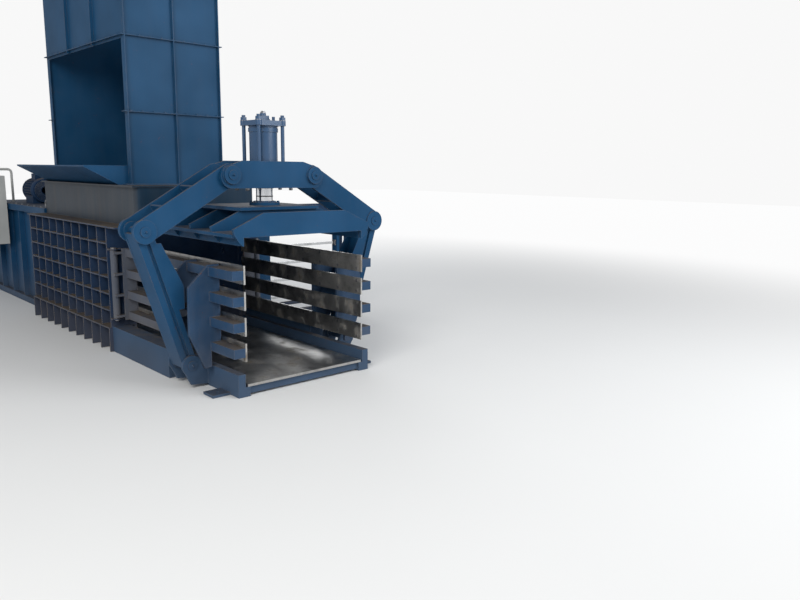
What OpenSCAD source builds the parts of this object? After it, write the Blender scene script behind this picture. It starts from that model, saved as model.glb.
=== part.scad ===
// Horizontal recycling baler. Bales leave towards +X, +Z is up, and the origin is on the ground
// at the middle of the four anchor bolts. "Right" is the -Y side, seen along the bale's travel.
// All sizes are in millimetres. Most side parts are drawn on the +Y side and mirrored.

/* [Machine] */
// Overall length of the base frame
machine_l = 6700; // [6600:10:7400]
// Clear width of the bale channel
channel_w = 1100; // [1060:10:1140]
// Height of the bale channel
channel_h = 1100; // [1080:5:1120]
// Height of the channel floor above the ground
floor_z = 95; // [85:1:105]
// Thickness of the floor liner
floor_t = 20; // [12:1:30]
// Working clearance between parts that slide past each other
slide_gap = 5; // [2:0.5:8]
// Radial clearance of a pin in its hole
pin_gap = 0.3; // [0.2:0.05:0.6]

/* [Base frame] */
// Width of a main rail
rail_w = 100; // [80:1:110]
// Wall of the main rails and of the sill boxes
rail_wall = 10; // [6:1:14]
// Height of the sill box beside the channel
sill_h = 240; // [230:1:250]
// How far the sill box stands out past the rail
sill_w = 150; // [120:1:160]
// Distance from the mouth to the front end of the sill box
sill_front = 835; // [790:1:900]
// Distance between anchor bolts across the machine
anchor_span_y = 1400; // [1360:1:1460]
// Distance of the anchor bolts from the frame's ends
anchor_inset = 200; // [150:1:260]
// Radius of an anchor hole
anchor_hole_r = 13; // [9:0.5:16]
// Side of a square anchor foot plate
anchor_pad = 150; // [120:1:180]
// Thickness of an anchor foot plate
anchor_pad_t = 20; // [12:1:30]

/* [Side walls] */
// Distance from the mouth to the hinge line of the side walls
wall_l = 1940; // [1900:1:1980]
// Number of beams in a side wall
beam_count = 4; // [3:1:4]
// Height between beams
beam_pitch = 194; // [180:1:198]
// Height of the lowest beam's middle above the channel floor
beam_first = 245; // [235:1:250]
// Height of a beam
beam_h = 72; // [60:1:80]
// Depth of a beam across the machine
beam_d = 94; // [80:1:100]
// Thickness of a wear strip
strip_t = 14; // [8:1:20]
// Height of a wear strip
strip_h = 140; // [120:1:150]
// Thickness of the upright wall ribs
wall_rib_t = 25; // [16:1:30]
// Distance from the mouth to the front face of the first wall rib
wall_rib_front = 345; // [320:1:380]
// Distance between the clamp's levers and the second wall rib
wall_rib_gap = 15; // [10:1:20]
// Radius of the wall hinge pins
wall_pin_r = 18; // [12:0.5:22]
// Distance of the wall hinge line outside the channel wall
wall_pin_out = 195; // [180:1:200]
// Length by which the wall's hinge tube goes past its outer beams
wall_tube_over = 20; // [10:1:35]

/* [Top platen] */
// Length of the platen from the mouth to its hinge
platen_l = 1650; // [1600:1:1655]
// Height of the platen's hinge above the channel roof
platen_pin_up = 105; // [95:1:110]
// Thickness of the platen's bottom plate
platen_t = 25; // [16:1:30]
// Half width of the platen's bottom plate
platen_half_w = 637; // [620:1:650]
// Distance between platen ribs
platen_rib_pitch = 330; // [300:1:335]
// Number of platen ribs
platen_ribs = 5; // [4:1:5]
// Thickness of a platen rib
platen_rib_t = 22; // [14:1:30]
// Height of the platen ribs above the bottom plate
platen_rib_h = 150; // [140:1:155]
// Depth of the lip that hooks down beside the bale
platen_lip = 62; // [40:1:80]
// Thickness of the lip
platen_lip_t = 14; // [8:1:20]
// Radius of the platen hinge pin
platen_pin_r = 30; // [20:1:32]
// Thickness of the plate that carries the clamp rod's collar
top_plate_t = 25; // [16:1:30]
// Half width of that plate
top_plate_half_w = 400; // [340:1:410]
// Height of the collar round the clamp rod
collar_h = 24; // [16:1:28]

/* [Clamp linkage] */
// Distance from the mouth to the middle of the clamp
clamp_back = 585; // [575:1:595]
// Clear gap between a tie rod and a crosshead plate
tie_gap = 3; // [2:0.5:5]
// Thickness of a crosshead plate
head_plate_t = 27; // [22:1:29]
// Height of the crosshead pins above the ground
head_z = 1640; // [1625:1:1660]
// Distance of a crosshead pin from the middle
head_pin_y = 390; // [370:1:400]
// Radius of the crosshead's rounded ends, half its height
head_r = 104; // [98:1:108]
// Height of the crosshead's top edge above its pins
head_top = 110; // [104:1:116]
// Thickness of the boss round a crosshead pin
head_boss_t = 22; // [10:1:30]
// Distance of a knee pin from the middle
knee_y = 1088; // [1075:1:1100]
// Height of a knee pin above the ground
knee_z = 1230; // [1220:1:1240]
// Distance of a foot pin from the middle
foot_y = 765; // [758:1:772]
// Height of a foot pin above the ground
foot_z = 181; // [174:1:188]
// Radius of the linkage pins
pin_r = 30; // [26:1:34]
// Radius of a pin's head
pin_head_r = 38; // [36:1:46]
// Thickness of a pin's head
pin_head_t = 8; // [5:1:12]
// Radial play at the crosshead end of a link
head_play = 1.4; // [1.3:0.1:3]
// Thickness of a link plate
link_t = 22; // [14:1:26]
// Half width of a link plate
link_r = 86; // [76:1:87]
// Radius of the disc on a link's lower end
link_disc_r = 88; // [88:1:100]
// Thickness of the disc on a link's lower end
link_disc_t = 12; // [8:1:16]
// Thickness of a lever plate
lever_t = 20; // [12:1:24]
// Width of the groove beside the lever's outer flange
lever_groove = 28; // [20:1:34]
// Radius of a lever's upper end
lever_top_r = 66; // [60:1:74]
// Radius of a lever's lower end
lever_foot_r = 58; // [52:1:64]
// Side gap between the stacked plates of the linkage
plate_gap = 4; // [3:0.5:5]
// Thickness of a foot lug
lug_t = 25; // [18:1:30]
// Radius of a foot lug
lug_r = 80; // [74:1:84]
// Free travel between a pusher block and its side wall
pusher_gap = 2; // [1.5:0.1:4]
// Height of the pusher blocks above the ground
pusher_z = 594; // [580:1:606]

/* [Clamp cylinder] */
// Outer radius of the clamp barrel
clamp_barrel_r = 113; // [110:1:116]
// Bore radius of the clamp barrel
clamp_bore_r = 98; // [95:1:100]
// Radius of the clamp rod
clamp_rod_r = 68; // [68:1:74]
// Radial clearance of the clamp rod and its piston
clamp_play = 2; // [1.5:0.1:3]
// Height of the top face of the clamp cylinder's cap above the ground
clamp_cap_z = 2071; // [2050:1:2090]
// Radius of the cap's corner bosses
clamp_cap_over = 27; // [25:1:32]
// Thickness of the cap
clamp_cap_t = 40; // [30:1:50]
// Distance between tie rods
tie_span = 224; // [218:1:230]
// Radius of a tie rod
tie_r = 15; // [10:1:16]

/* [Chamber and hopper] */
// Clear length between the platen's hinge and the feed throat
throat_gap = 70; // [65:1:90]
// Distance from the throat's front face back to the hopper's front panel
hopper_set = 410; // [390:1:440]
// Length of the hopper along the machine
hopper_l = 2050; // [1950:10:2100]
// Width of the hopper's front panel
hopper_w = 952; // [930:1:970]
// Height of the hopper's foot above the ground
hopper_z = 1525; // [1510:1:1540]
// Height of one panel field of the hopper
hopper_field = 674; // [640:1:700]
// Number of panel fields, one above the other
hopper_fields = 3; // [3:1:4]
// Sheet thickness of the hopper
hopper_t = 8; // [5:1:12]
// Depth of the hopper's stiffening ribs
hopper_rib = 30; // [20:1:40]
// Height of the side ledge above the ground
ledge_z = 1165; // [1155:1:1175]
// Distance of the stiffener edges from the middle
crate_y = 792; // [786:1:800]
// Distance between upright stiffeners
crate_pitch = 220; // [210:1:230]
// Height between level stiffeners
crate_row = 155; // [148:1:158]
// Thickness of a stiffener
crate_t = 12; // [8:1:16]
// How far the foot of the chamber wall stands out past the stiffeners
crate_step = 20; // [10:1:30]
// Thickness of the chamber wall
chamber_t = 20; // [14:1:25]
// Half width of the feed throat, outside
throat_half_w = 605; // [598:1:615]
// Corner radius of the feed throat
throat_r = 60; // [40:1:80]
// Thickness of the flange below the hopper
flange_t = 12; // [8:1:16]
// How far that flange stands out
flange_out = 35; // [25:1:45]
// Height of the chute's lip above the ground
chute_z = 1700; // [1680:1:1720]
// How far the chute reaches out past the hopper's side
chute_out = 410; // [380:1:440]

/* [Ram] */
// Clear length between the resting ram and the cylinder's mounting wall
ram_rear_gap = 370; // [350:10:420]
// Wall of the ram box
ram_wall = 25; // [16:1:35]
// Thickness of the ram's front plate
ram_face_t = 50; // [44:1:60]
// Height of a wire slot in the ram's face
ram_slot_h = 44; // [40:1:50]
// Depth of a wire slot in the ram's face
ram_slot_d = 34; // [30:1:38]
// Thickness of the knife blades
knife_t = 25; // [20:1:28]
// Outer radius of the main barrel
main_barrel_r = 165; // [155:1:180]
// Bore radius of the main barrel
main_bore_r = 130; // [115:1:140]
// Radius of the main rod
main_rod_r = 85; // [70:1:95]
// Thickness of the cylinder's mounting wall
main_wall_t = 60; // [40:1:70]
// Distance of the mounting wall from the frame's rear end
main_wall_in = 60; // [50:1:80]
// Distance of the main barrel's front from the resting ram's front plate
main_front_gap = 120; // [100:1:150]

/* [Tying unit] */
// Distance from the mouth to the line of the tying needles
tie_back = 2293; // [2285:1:2300]
// Thickness of a tying needle
needle_t = 16; // [10:1:18]
// Height of a tying needle
needle_h = 28; // [20:1:30]
// Length of a tying needle in front of its carriage
needle_l = 1470; // [1465:1:1520]
// Side of a guide column of the tying unit
tier_post = 60; // [50:1:70]
// Radius of a guide bar of the needle carriage
guide_r = 22; // [16:1:26]

/* [Power unit and controls] */
// Length of the oil tank
tank_l = 1000; // [900:10:1100]
// Width of the oil tank
tank_w = 560; // [500:10:600]
// Height of the oil tank
tank_h = 440; // [400:10:500]
// Radius of the pump motor
motor_r = 140; // [120:1:150]
// Length of the pump motor
motor_l = 400; // [360:1:420]
// Radius of a hydraulic pipe
pipe_r = 21; // [15:1:24]
// Width of the control cabinet along the machine
cabinet_w = 560; // [500:10:600]
// Height of the control cabinet
cabinet_h = 860; // [800:10:950]
// Depth of the control cabinet
cabinet_d = 220; // [200:10:240]
// Thickness of the control cabinet's door
cabinet_door_t = 20; // [15:1:25]
// Width of the access door
door_w = 560; // [500:10:600]
// Height of the access door
door_h = 620; // [560:10:680]

/* [Hidden] */
$fn = 48;
e = 1;
blue = [0.13, 0.33, 0.55];
deep_blue = [0.10, 0.26, 0.44];
steel = [0.62, 0.63, 0.64];
dark_steel = [0.32, 0.33, 0.35];
chrome = [0.80, 0.81, 0.83];
grey = [0.72, 0.73, 0.72];
red = [0.75, 0.10, 0.08];
green = [0.10, 0.45, 0.20];

// Places along the machine
mouth_x = machine_l / 2;
rear_x = -machine_l / 2;
clamp_x = mouth_x - clamp_back;
hinge_x = mouth_x - wall_l;
platen_hinge_x = mouth_x - platen_l;
throat_x = platen_hinge_x - throat_gap;
hopper_x = throat_x - hopper_set;
hopper_rear_x = hopper_x - hopper_l;
wall_knuckle_r = wall_pin_r + 14;
chamber_front_x = hinge_x - wall_knuckle_r - 3;
tie_x = mouth_x - tie_back;
bay_front = chamber_front_x - crate_t - crate_pitch;
bay_rear = bay_front - crate_pitch + crate_t;
ram_face_x = hopper_rear_x + 30;
anchor_x = machine_l / 2 - anchor_inset;

// Places across and up
channel_y = channel_w / 2;
roof_z = floor_z + channel_h;
chamber_y = channel_y + chamber_t;
rail_y = channel_y - 20;
rail_out = rail_y + rail_w;
rail_top = floor_z - floor_t;
sill_y = rail_out + sill_w;
beam_in_y = channel_y + strip_t;
beam_out_y = beam_in_y + beam_d;
wall_pin_y = channel_y + wall_pin_out;
platen_top = roof_z + platen_t;
platen_rib_top = platen_top + platen_rib_h;
top_plate_z = platen_rib_top + top_plate_t;
platen_pin_z = roof_z + platen_pin_up;
hopper_y = hopper_w / 2;
hopper_top = hopper_z + hopper_field * hopper_fields;
crate_foot_z = sill_h - 10;
needle_way = chamber_y + 100;

// Stack of the linkage plates, half depths from the clamp's middle
head_in = tie_span / 2 + tie_r + tie_gap;
head_half = head_in + head_plate_t;
clamp_cap_w = tie_span + 2 * clamp_cap_over - 20;
link_out = head_in - plate_gap;
link_in = link_out - link_t;
lever_out = link_in - plate_gap;
lever_in = lever_out - lever_t;
lug_in = lever_out + plate_gap;
lug_out = lug_in + lug_t;
disc_out = link_out + link_disc_t;
wall_rib_rear = clamp_x - lever_out - wall_rib_gap;

// Floor of the crosshead, which carries the clamp cylinder
head_floor_t = 35;
head_floor_z = head_z - head_r + 4;
clamp_foot_z = head_floor_z + head_floor_t;

// Middle line of the main cylinder and its ends
ram_z = floor_z + channel_h / 2;
main_front_x = ram_face_x - ram_face_t - main_front_gap;
main_wall_x = rear_x + main_wall_in;
main_rear_x = main_wall_x + main_wall_t;
ram_rear_x = main_rear_x + ram_rear_gap;
ram_l = ram_face_x - ram_rear_x;
knife_x = hopper_x - 30;
knife_h = 120;
gland_l = 140;
piston_t = 70;
house_roof_t = 15;
deck_z = roof_z + slide_gap + house_roof_t;

knee = [knee_y, knee_z];
foot = [foot_y, foot_z];
head_pin = [head_pin_y, head_z];

function beam_z(i) = floor_z + beam_first + i * beam_pitch;
function slot_z(i) = beam_z(i) - beam_pitch / 2;

// Hinge tubes of the side walls, the pad that the pusher presses on, and the platen's hinge
wall_tube_low = beam_z(0) - wall_tube_over;
wall_tube_top = beam_z(beam_count - 1) + wall_tube_over;
wall_pad_y = beam_out_y + 104;
platen_ear_t = 25;
platen_ears = [300, 430];
platen_knuckle_l = 200;

// Details of the linkage
lug_top = foot_z - 40;
lever_web_t = 16;
lever_web_out = lever_foot_r - 10;
lever_flange_out = lever_foot_r + 4;
lever_flange_t = 20;
lever_floor_t = 16;
lever_groove_at = -10;
lever_gusset_y = foot_y + 27;
pusher_h = 56;
pusher_l = 68;
pusher_nose_y = wall_pad_y + pusher_gap;
link_web_t = 18;
head_floor_half = 250;
head_end_drop = 14;
head_shift = (head_play - pin_gap) * [cos(150), sin(150)];
clamp_eye_r = 50;
top_plate_back = 380;
top_plate_front = 285;
top_plate_in = 240;
clamp_eye_pin_r = 30;
clamp_eye_half = 46;
clamp_shoulder_z = platen_rib_top + 6;
clamp_piston_z = clamp_foot_z + 190;

// Hopper, ram and the housing behind
hopper_side_top = hopper_z + 2 * hopper_field - hopper_rib;
hopper_foot = 60;
hopper_bolt_x = [for (i = [0 : 6]) hopper_rear_x + 80 + i * (hopper_l - 160) / 6];
ram_knife_h = 60;
piston_x = main_rear_x + 80;
house_rib = 60;
door_x = ram_rear_x + door_w;
door_z = floor_z + 240;
door_t = 12;
door_lap = 20;
door_pin_x = door_x - 40;
door_pin_y = chamber_y + 30;
door_pin_r = 10;
door_hinge_h = 102;
door_hinges = [door_z + 60, door_z + door_h - 60 - door_hinge_h];
door_latch_x = door_x + door_w - 40;
door_latch_z = door_z + door_h / 2;

// Power unit on the deck
tank_x = main_rear_x + 560;
tank_y = 20;
tank_z = deck_z + 40;
pump_l = 260;
motor_x = tank_x + 120 + pump_l;
motor_y = tank_y - motor_r - 160;
motor_z = deck_z + motor_r + 25;
valve_x = main_rear_x + 260;
pipe_y = 60;
pump_port_x = motor_x - pump_l + 70;
pump_port_down = 78;
pipe_rear_x = main_rear_x + 110;
pipe_front_x = main_rear_x + 190;
pipe_run_z = ram_z + main_barrel_r + 95;
pipe_deck_z = deck_z + 60;

// Control cabinet
cabinet_x = main_wall_x + 500;
cabinet_y = chamber_y + house_rib + 20;
cabinet_z = 700;
cabinet_wall = 12;
cabinet_front = cabinet_y + cabinet_d;
cabinet_pin_x = cabinet_x + 8;
cabinet_pin_y = cabinet_front + cabinet_door_t / 2;
cabinet_hinges = [cabinet_z + 60, cabinet_z + cabinet_h - 120];
button_z = cabinet_z + cabinet_h - 200;
function button_x(i) = cabinet_x + cabinet_w / 2 - 120 + i * 120;

// Tying unit
tier_half = 50;
drive_motor_r = 62;
drive_motor_l = 180;
drive_z = ledge_z + 45 + drive_motor_r;
twister_l = 170;
twister_w = 150;
tier_in = crate_y + crate_step;
needle_tip_y = chamber_y + 15;
carriage_y = needle_tip_y + needle_l;
carriage_t = 40;
carriage_sleeve = 80;
tier_out = carriage_y + carriage_sleeve + 20;
guide_low = floor_z + 65;
guide_high = ledge_z - 50;

// Extrudes a (Y, Z) outline along X from x0 over a length t
module across(x0, t) translate([x0, 0, 0]) rotate([90, 0, 90]) linear_extrude(t) children();

// Extrudes an (X, Z) outline along Y from y0 over a length t
module along(y0, t) translate([0, y0 + t, 0]) rotate([90, 0, 0]) linear_extrude(t) children();

// A box from its lowest corner to its highest one
module block(a, b) translate(a) cube(b - a);

// A round bar along X, Y or Z that starts at a point
module bar_x(p, r, l) translate(p) rotate([0, 90, 0]) cylinder(r = r, h = l);
module bar_y(p, r, l) translate(p) rotate([-90, 0, 0]) cylinder(r = r, h = l);
module bar_z(p, r, l) translate(p) cylinder(r = r, h = l);

// A bar along X, centred on the clamp's middle
module clamp_bar(p, r, half) bar_x([clamp_x - half, p[0], p[1]], r, 2 * half);

// Mirrors a left-hand part to the right-hand side
module right_hand() mirror([0, 1, 0]) children();

// Both hands of a part
module both_hands() {
    children();
    mirror([0, 1, 0]) children();
}

// The front plate and the rear plate of a linkage member, between two half depths
module plate_pair(half_in, half_out) {
    across(clamp_x + half_in, half_out - half_in) children();
    across(clamp_x - half_out, half_out - half_in) children();
}

// Flat strap between two round ends, with straight sides tangent to both
module strap(p, rp, q, rq) {
    u = (q - p) / norm(q - p);
    s = (rp - rq) / norm(q - p);
    c = sqrt(1 - s * s);
    n1 = [u[0] * s - u[1] * c, u[1] * s + u[0] * c];
    n2 = [u[0] * s + u[1] * c, u[1] * s - u[0] * c];
    translate(p) circle(r = rp);
    translate(q) circle(r = rq);
    polygon([p + n1 * rp, q + n1 * rq, q + n2 * rq, p + n2 * rp]);
}

// Flat bar of a given width whose middle line lies beside the line from p to q
module side_bar(p, q, from, to) {
    u = (q - p) / norm(q - p);
    n = [u[1], -u[0]];
    polygon([p + n * from, p + n * to, q + n * to, q + n * from]);
}

// Hexagon bolt head or nut along Z
module hex_z(p, across_flats, h) translate(p) rotate([0, 0, 30]) cylinder(r = across_flats / sqrt(3), h = h, $fn = 6);

// Base frame: two box rails, cross members, sill boxes beside the channel and anchor feet
module base_frame() color(blue) difference() {
    union() {
        both_hands() base_rail();
        for (x = [mouth_x - 140, clamp_x - 60, hinge_x - 60, hopper_x - 0.44 * hopper_l, ram_face_x - 0.534 * ram_l, rear_x + 20])
            block([x, -rail_y - e, rail_top - 60], [x + 120, rail_y + e, rail_top]);
        both_hands() base_sill();
        both_hands() base_cheek();
        for (x = [-anchor_x, anchor_x]) both_hands()
            block([x - anchor_pad / 2, rail_out - e, 0],
                [x + anchor_pad / 2, (anchor_span_y + anchor_pad) / 2, anchor_pad_t]);
    }
    for (x = [-anchor_x, anchor_x], y = [-anchor_span_y / 2, anchor_span_y / 2])
        bar_z([x, y, -e], anchor_hole_r, anchor_pad_t + 2 * e);
}

module base_rail() difference() {
    block([rear_x, rail_y, 0], [mouth_x, rail_out, rail_top]);
    block([rear_x - e, rail_y + rail_wall, rail_wall],
        [mouth_x - rail_wall, rail_out - rail_wall, rail_top - rail_wall]);
}

// The sill box carries the ledge beside the side wall
module base_sill() difference() {
    block([chamber_front_x, rail_out - e, 0], [mouth_x - sill_front, sill_y, sill_h]);
    block([chamber_front_x + rail_wall, rail_out + rail_wall, rail_wall],
        [mouth_x - sill_front - rail_wall, sill_y - rail_wall, sill_h - rail_wall]);
}

// Kerb on the rail beside the bale, whose end is the lowest finger at the mouth
module base_cheek()
    block([hinge_x, beam_in_y + slide_gap, rail_top - e], [mouth_x, rail_out, floor_z + 82]);

module floor_liner() color(steel)
    block([main_rear_x + 40, -channel_y, rail_top], [mouth_x, channel_y, floor_z]);

// Chamber wall with crossing stiffeners, open towards the outside. The far wall is cut for needles.
module chamber_wall(way) color(blue) difference() {
    union() {
        block([hopper_rear_x, channel_y, rail_top], [chamber_front_x, chamber_y, roof_z]);
        for (i = [0 : floor((chamber_front_x - hopper_rear_x - 2 * crate_t) / crate_pitch)])
            chamber_upright(chamber_front_x - crate_t - i * crate_pitch);
        chamber_upright(hopper_rear_x);
        level_stiffeners(hopper_rear_x, chamber_front_x, chamber_y - e);
        block([hopper_rear_x, chamber_y - e, ledge_z - crate_t],
            [throat_x, crate_y + crate_step, ledge_z]);
        for (z = [wall_tube_low - plate_gap - crate_t, wall_tube_top + plate_gap])
            wall_bracket(z);
    }
    needle_slots(way);
    bar_z([hinge_x, wall_pin_y, 0], wall_pin_r + pin_gap, ledge_z - 2 * crate_t);
}

// Slots for the needles, with clear notches in the stiffeners outside them
module needle_slots(way) for (i = [0 : beam_count]) {
    block([tie_x - needle_t, channel_y - e, slot_z(i) - ram_slot_h / 2],
        [tie_x + needle_t, way, slot_z(i) + ram_slot_h / 2]);
    block([tie_x - needle_t, chamber_y, slot_z(i) - ram_slot_h / 2 - crate_t - 2],
        [tie_x + needle_t, way, slot_z(i) + ram_slot_h / 2 + crate_t + 2]);
}

// Level stiffeners from x0 to x1, whose inner edges are at y0, and the shelf at the wall's foot
module level_stiffeners(x0, x1, y0) {
    for (i = [1 : floor((ledge_z - crate_foot_z - 80) / crate_row)])
        block([x0, y0, ledge_z - i * crate_row - crate_t], [x1, crate_y, ledge_z - i * crate_row]);
    block([x0, rail_out - e, crate_foot_z - crate_t], [x1, crate_y + crate_step, crate_foot_z]);
}

// The right wall is built in front of and behind its needle bay, which is fitted in afterwards
module right_wall() right_hand() difference() {
    chamber_wall(needle_way);
    block([bay_rear, channel_y - e, 0], [bay_front, crate_y + 2 * crate_step, roof_z + e]);
}

// Needle plate with its slots and, with a fitting gap, the level stiffeners between the uprights
module right_bay() color(blue) right_hand() difference() {
    union() {
        block([bay_rear, channel_y, rail_top], [bay_front, chamber_y, roof_z]);
        level_stiffeners(bay_rear, bay_front, chamber_y + 1);
        block([bay_rear, chamber_y + 1, ledge_z - crate_t], [bay_front, crate_y + crate_step, ledge_z]);
    }
    needle_slots(needle_way);
}

// The sill's end wall carries the lower part of the upright
module chamber_upright(x) {
    block([x, chamber_y - e, crate_foot_z - e], [x + crate_t, crate_y, ledge_z - e]);
    block([x, rail_out, 0], [x + crate_t, crate_y + crate_step, crate_foot_z - e]);
}

// Hinge bracket of the side wall
module wall_bracket(z) {
    block([chamber_front_x - e, chamber_y + 100, z], [hinge_x, crate_y, z + crate_t]);
    bar_z([hinge_x, wall_pin_y, z], wall_knuckle_r, crate_t);
}

// Feed throat between the chamber and the hopper, with the platen's hinge ears on its front
module throat_box() color(deep_blue) difference() {
    union() {
        throat_outline(throat_half_w, throat_r, ledge_z, hopper_z);
        block([hopper_rear_x - 10, -throat_half_w - flange_out, hopper_z - flange_t],
            [throat_x + 12, throat_half_w + flange_out, hopper_z]);
        both_hands() for (y = platen_ears) platen_ear(y);
        block([throat_x - throat_r, -chamber_y, roof_z], [platen_hinge_x + 10, chamber_y, roof_z + chamber_t]);
    }
    difference() {
        throat_outline(throat_half_w - chamber_t, throat_r - chamber_t, ledge_z - e, hopper_z - flange_t);
        block([knife_x, -throat_half_w, roof_z], [throat_x, throat_half_w, roof_z + chamber_t]);
        block([knife_x, -throat_half_w, roof_z], [knife_x + chamber_t, throat_half_w, hopper_z]);
    }
    block([hopper_rear_x - e, -chamber_y, ledge_z - e], [throat_x + e, chamber_y, roof_z]);
    block([hopper_rear_x + hopper_t, -hopper_y + hopper_t, hopper_z - 2 * flange_t],
        [hopper_x - hopper_t, hopper_y - hopper_t, hopper_z + e]);
    bar_y([platen_hinge_x, -channel_y, platen_pin_z], platen_pin_r + pin_gap, channel_w);
}

// Plan of the throat, with round corners at its front and its inner faces in line with its rear
module throat_outline(half_w, r, z0, z1) {
    inset = throat_half_w - half_w;
    translate([0, 0, z0]) linear_extrude(z1 - z0) {
        translate([hopper_rear_x + inset, -half_w])
            square([throat_x - hopper_rear_x - 2 * inset - r, 2 * half_w]);
        translate([throat_x - inset - r - e, -half_w + r]) square([r + e, 2 * (half_w - r)]);
        for (y = [-half_w + r, half_w - r]) translate([throat_x - inset - r, y]) circle(r = r);
    }
}

// Ear that holds the platen's hinge pin
module platen_ear(y) along(y, platen_ear_t) {
    translate([platen_hinge_x, platen_pin_z]) circle(r = platen_pin_r + 22);
    translate([throat_x - e, platen_pin_z - platen_pin_r - 22])
        square([platen_hinge_x - throat_x + e, 2 * platen_pin_r + 44]);
}

// Knife on the front edge of the feed opening
module fixed_knife() color(dark_steel)
    block([knife_x - knife_t, -channel_y + slide_gap, roof_z],
        [knife_x, channel_y - slide_gap, roof_z + knife_h]);

// Hopper tower of flat sheet, open on the right above the chute and open at the top
module hopper() color(blue) {
    difference() {
        union() {
            block([hopper_rear_x, -hopper_y, hopper_z], [hopper_x, hopper_y, hopper_top]);
            block([hopper_rear_x - 10, -hopper_y - hopper_foot, hopper_z],
                [hopper_x + hopper_foot, hopper_y + hopper_foot, hopper_z + hopper_t]);
            hopper_ribs();
        }
        block([hopper_rear_x + hopper_t, -hopper_y + hopper_t, hopper_z - e],
            [hopper_x - hopper_t, hopper_y - hopper_t, hopper_top + e]);
        block([hopper_rear_x + hopper_rib + 10, -hopper_y - hopper_rib - e, hopper_z + 20],
            [hopper_x - hopper_rib - 10, -hopper_y + hopper_t + e, hopper_side_top]);
        for (x = hopper_bolt_x, y = [-1, 1]) bar_z([x, y * (hopper_y + hopper_foot - 20), hopper_z - e], 9, hopper_t + 2 * e);
    }
}

// Level stiffeners round the tower, uprights in the middle of each panel and flanges on its edges
module hopper_ribs() {
    for (z = [hopper_z + hopper_field : hopper_field : hopper_top])
        block([hopper_rear_x - hopper_rib, -hopper_y - hopper_rib, z - hopper_t],
            [hopper_x + hopper_rib, hopper_y + hopper_rib, z]);
    for (x = [hopper_x - e, hopper_rear_x - hopper_rib])
        for (y = [-hopper_y, -hopper_t / 2, hopper_y - hopper_t])
            block([x, y, hopper_z], [x + hopper_rib + e, y + hopper_t, hopper_top]);
    for (x = [hopper_x - hopper_l / 3, hopper_x - hopper_l * 2 / 3])
        for (y = [-hopper_y - hopper_rib, hopper_y - e])
            block([x, y, y < 0 ? hopper_side_top - e : hopper_z], [x + hopper_t, y + hopper_rib + e, hopper_top]);
}

// Bolts that hold the hopper's foot on the flange
module hopper_bolts() color(dark_steel)
    for (x = hopper_bolt_x, y = [-1, 1]) {
        p = [x, y * (hopper_y + hopper_foot - 20), hopper_z + hopper_t];
        hex_z(p, 27, 12);
        bar_z(p - [0, 0, hopper_t], 8.5, hopper_t + e);
    }

// Loading chute on the hopper's right side: a sloping floor and two cheeks with flanges
module feed_chute() color(blue) right_hand() {
    foot_y0 = hopper_y + hopper_foot + 1;
    across(hopper_rear_x + hopper_rib, hopper_l - 2 * hopper_rib) polygon([[foot_y0, hopper_z],
        [foot_y0, hopper_z + 26], [hopper_y + chute_out, chute_z], [hopper_y + chute_out, chute_z - 12],
        [foot_y0 + 40, hopper_z]]);
    for (x = [hopper_rear_x + hopper_rib, hopper_x - hopper_rib - hopper_t]) across(x, hopper_t)
        polygon([[hopper_y, hopper_z + hopper_t], [foot_y0, hopper_z + hopper_t], [hopper_y + chute_out, chute_z - 6],
            [hopper_y + chute_out, chute_z + 2], [hopper_y, chute_z + 2]]);
}

// Housing of the resting ram: two walls with uprights, a roof that is also the deck, a door opening
module ram_house() color(blue) difference() {
    union() {
        both_hands() block([main_wall_x, channel_y, rail_top], [hopper_rear_x, chamber_y, deck_z - e]);
        difference() {
            both_hands() house_ribs();
            block([door_pin_x - 30, chamber_y, door_z - 2 * door_lap],
                [door_x + door_w + 2 * door_lap, chamber_y + house_rib + e, door_z + door_h + 2 * door_lap]);
        }
        block([main_wall_x, -chamber_y - house_rib, deck_z - house_roof_t],
            [hopper_rear_x - 10, chamber_y + house_rib, deck_z]);
        for (z = door_hinges) door_hinge(z);
    }
    block([door_x, channel_y - e, door_z], [door_x + door_w, chamber_y + e, door_z + door_h]);
    bar_z([pipe_rear_x, -pipe_y, deck_z - house_roof_t - e], pipe_r + 5, house_roof_t + 2 * e);
    bar_z([pipe_front_x, pipe_y, deck_z - house_roof_t - e], pipe_r + 5, house_roof_t + 2 * e);
}

module house_ribs() {
    for (i = [0 : 5]) {
        x = main_wall_x + i * (hopper_rear_x - main_wall_x - 60) / 5;
        block([x, chamber_y - e, rail_top], [x + crate_t, chamber_y + house_rib, deck_z - house_roof_t + e]);
    }
    block([main_wall_x, chamber_y - e, deck_z - house_roof_t - 60],
        [hopper_rear_x - 10, chamber_y + house_rib, deck_z - house_roof_t + e]);
}

// Two lugs with a pin between them, on the left wall
module door_hinge(z) {
    for (d = [0, door_hinge_h - 20])
        block([door_pin_x - 16, chamber_y - e, z + d], [door_pin_x + 16, door_pin_y + 16, z + d + 20]);
    bar_z([door_pin_x, door_pin_y, z + e], door_pin_r, door_hinge_h - 2 * e);
}

// Access door in the left wall of the ram house, hung on two pins
module access_door() color(blue) difference() {
    union() {
        block([door_x - door_lap, chamber_y + 0.5, door_z - door_lap],
            [door_x + door_w + door_lap, chamber_y + 0.5 + door_t, door_z + door_h + door_lap]);
        for (z = door_hinges) {
            bar_z([door_pin_x, door_pin_y, z + 21], door_pin_r + 8, door_hinge_h - 42);
            block([door_pin_x, chamber_y + door_t, z + 21],
                [door_x + 60, door_pin_y - 5, z + door_hinge_h - 21]);
        }
    }
    bar_y([door_latch_x, chamber_y, door_latch_z], 12 + pin_gap, 40);
    for (z = door_hinges) bar_z([door_pin_x, door_pin_y, z], door_pin_r + pin_gap, door_hinge_h);
}

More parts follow.
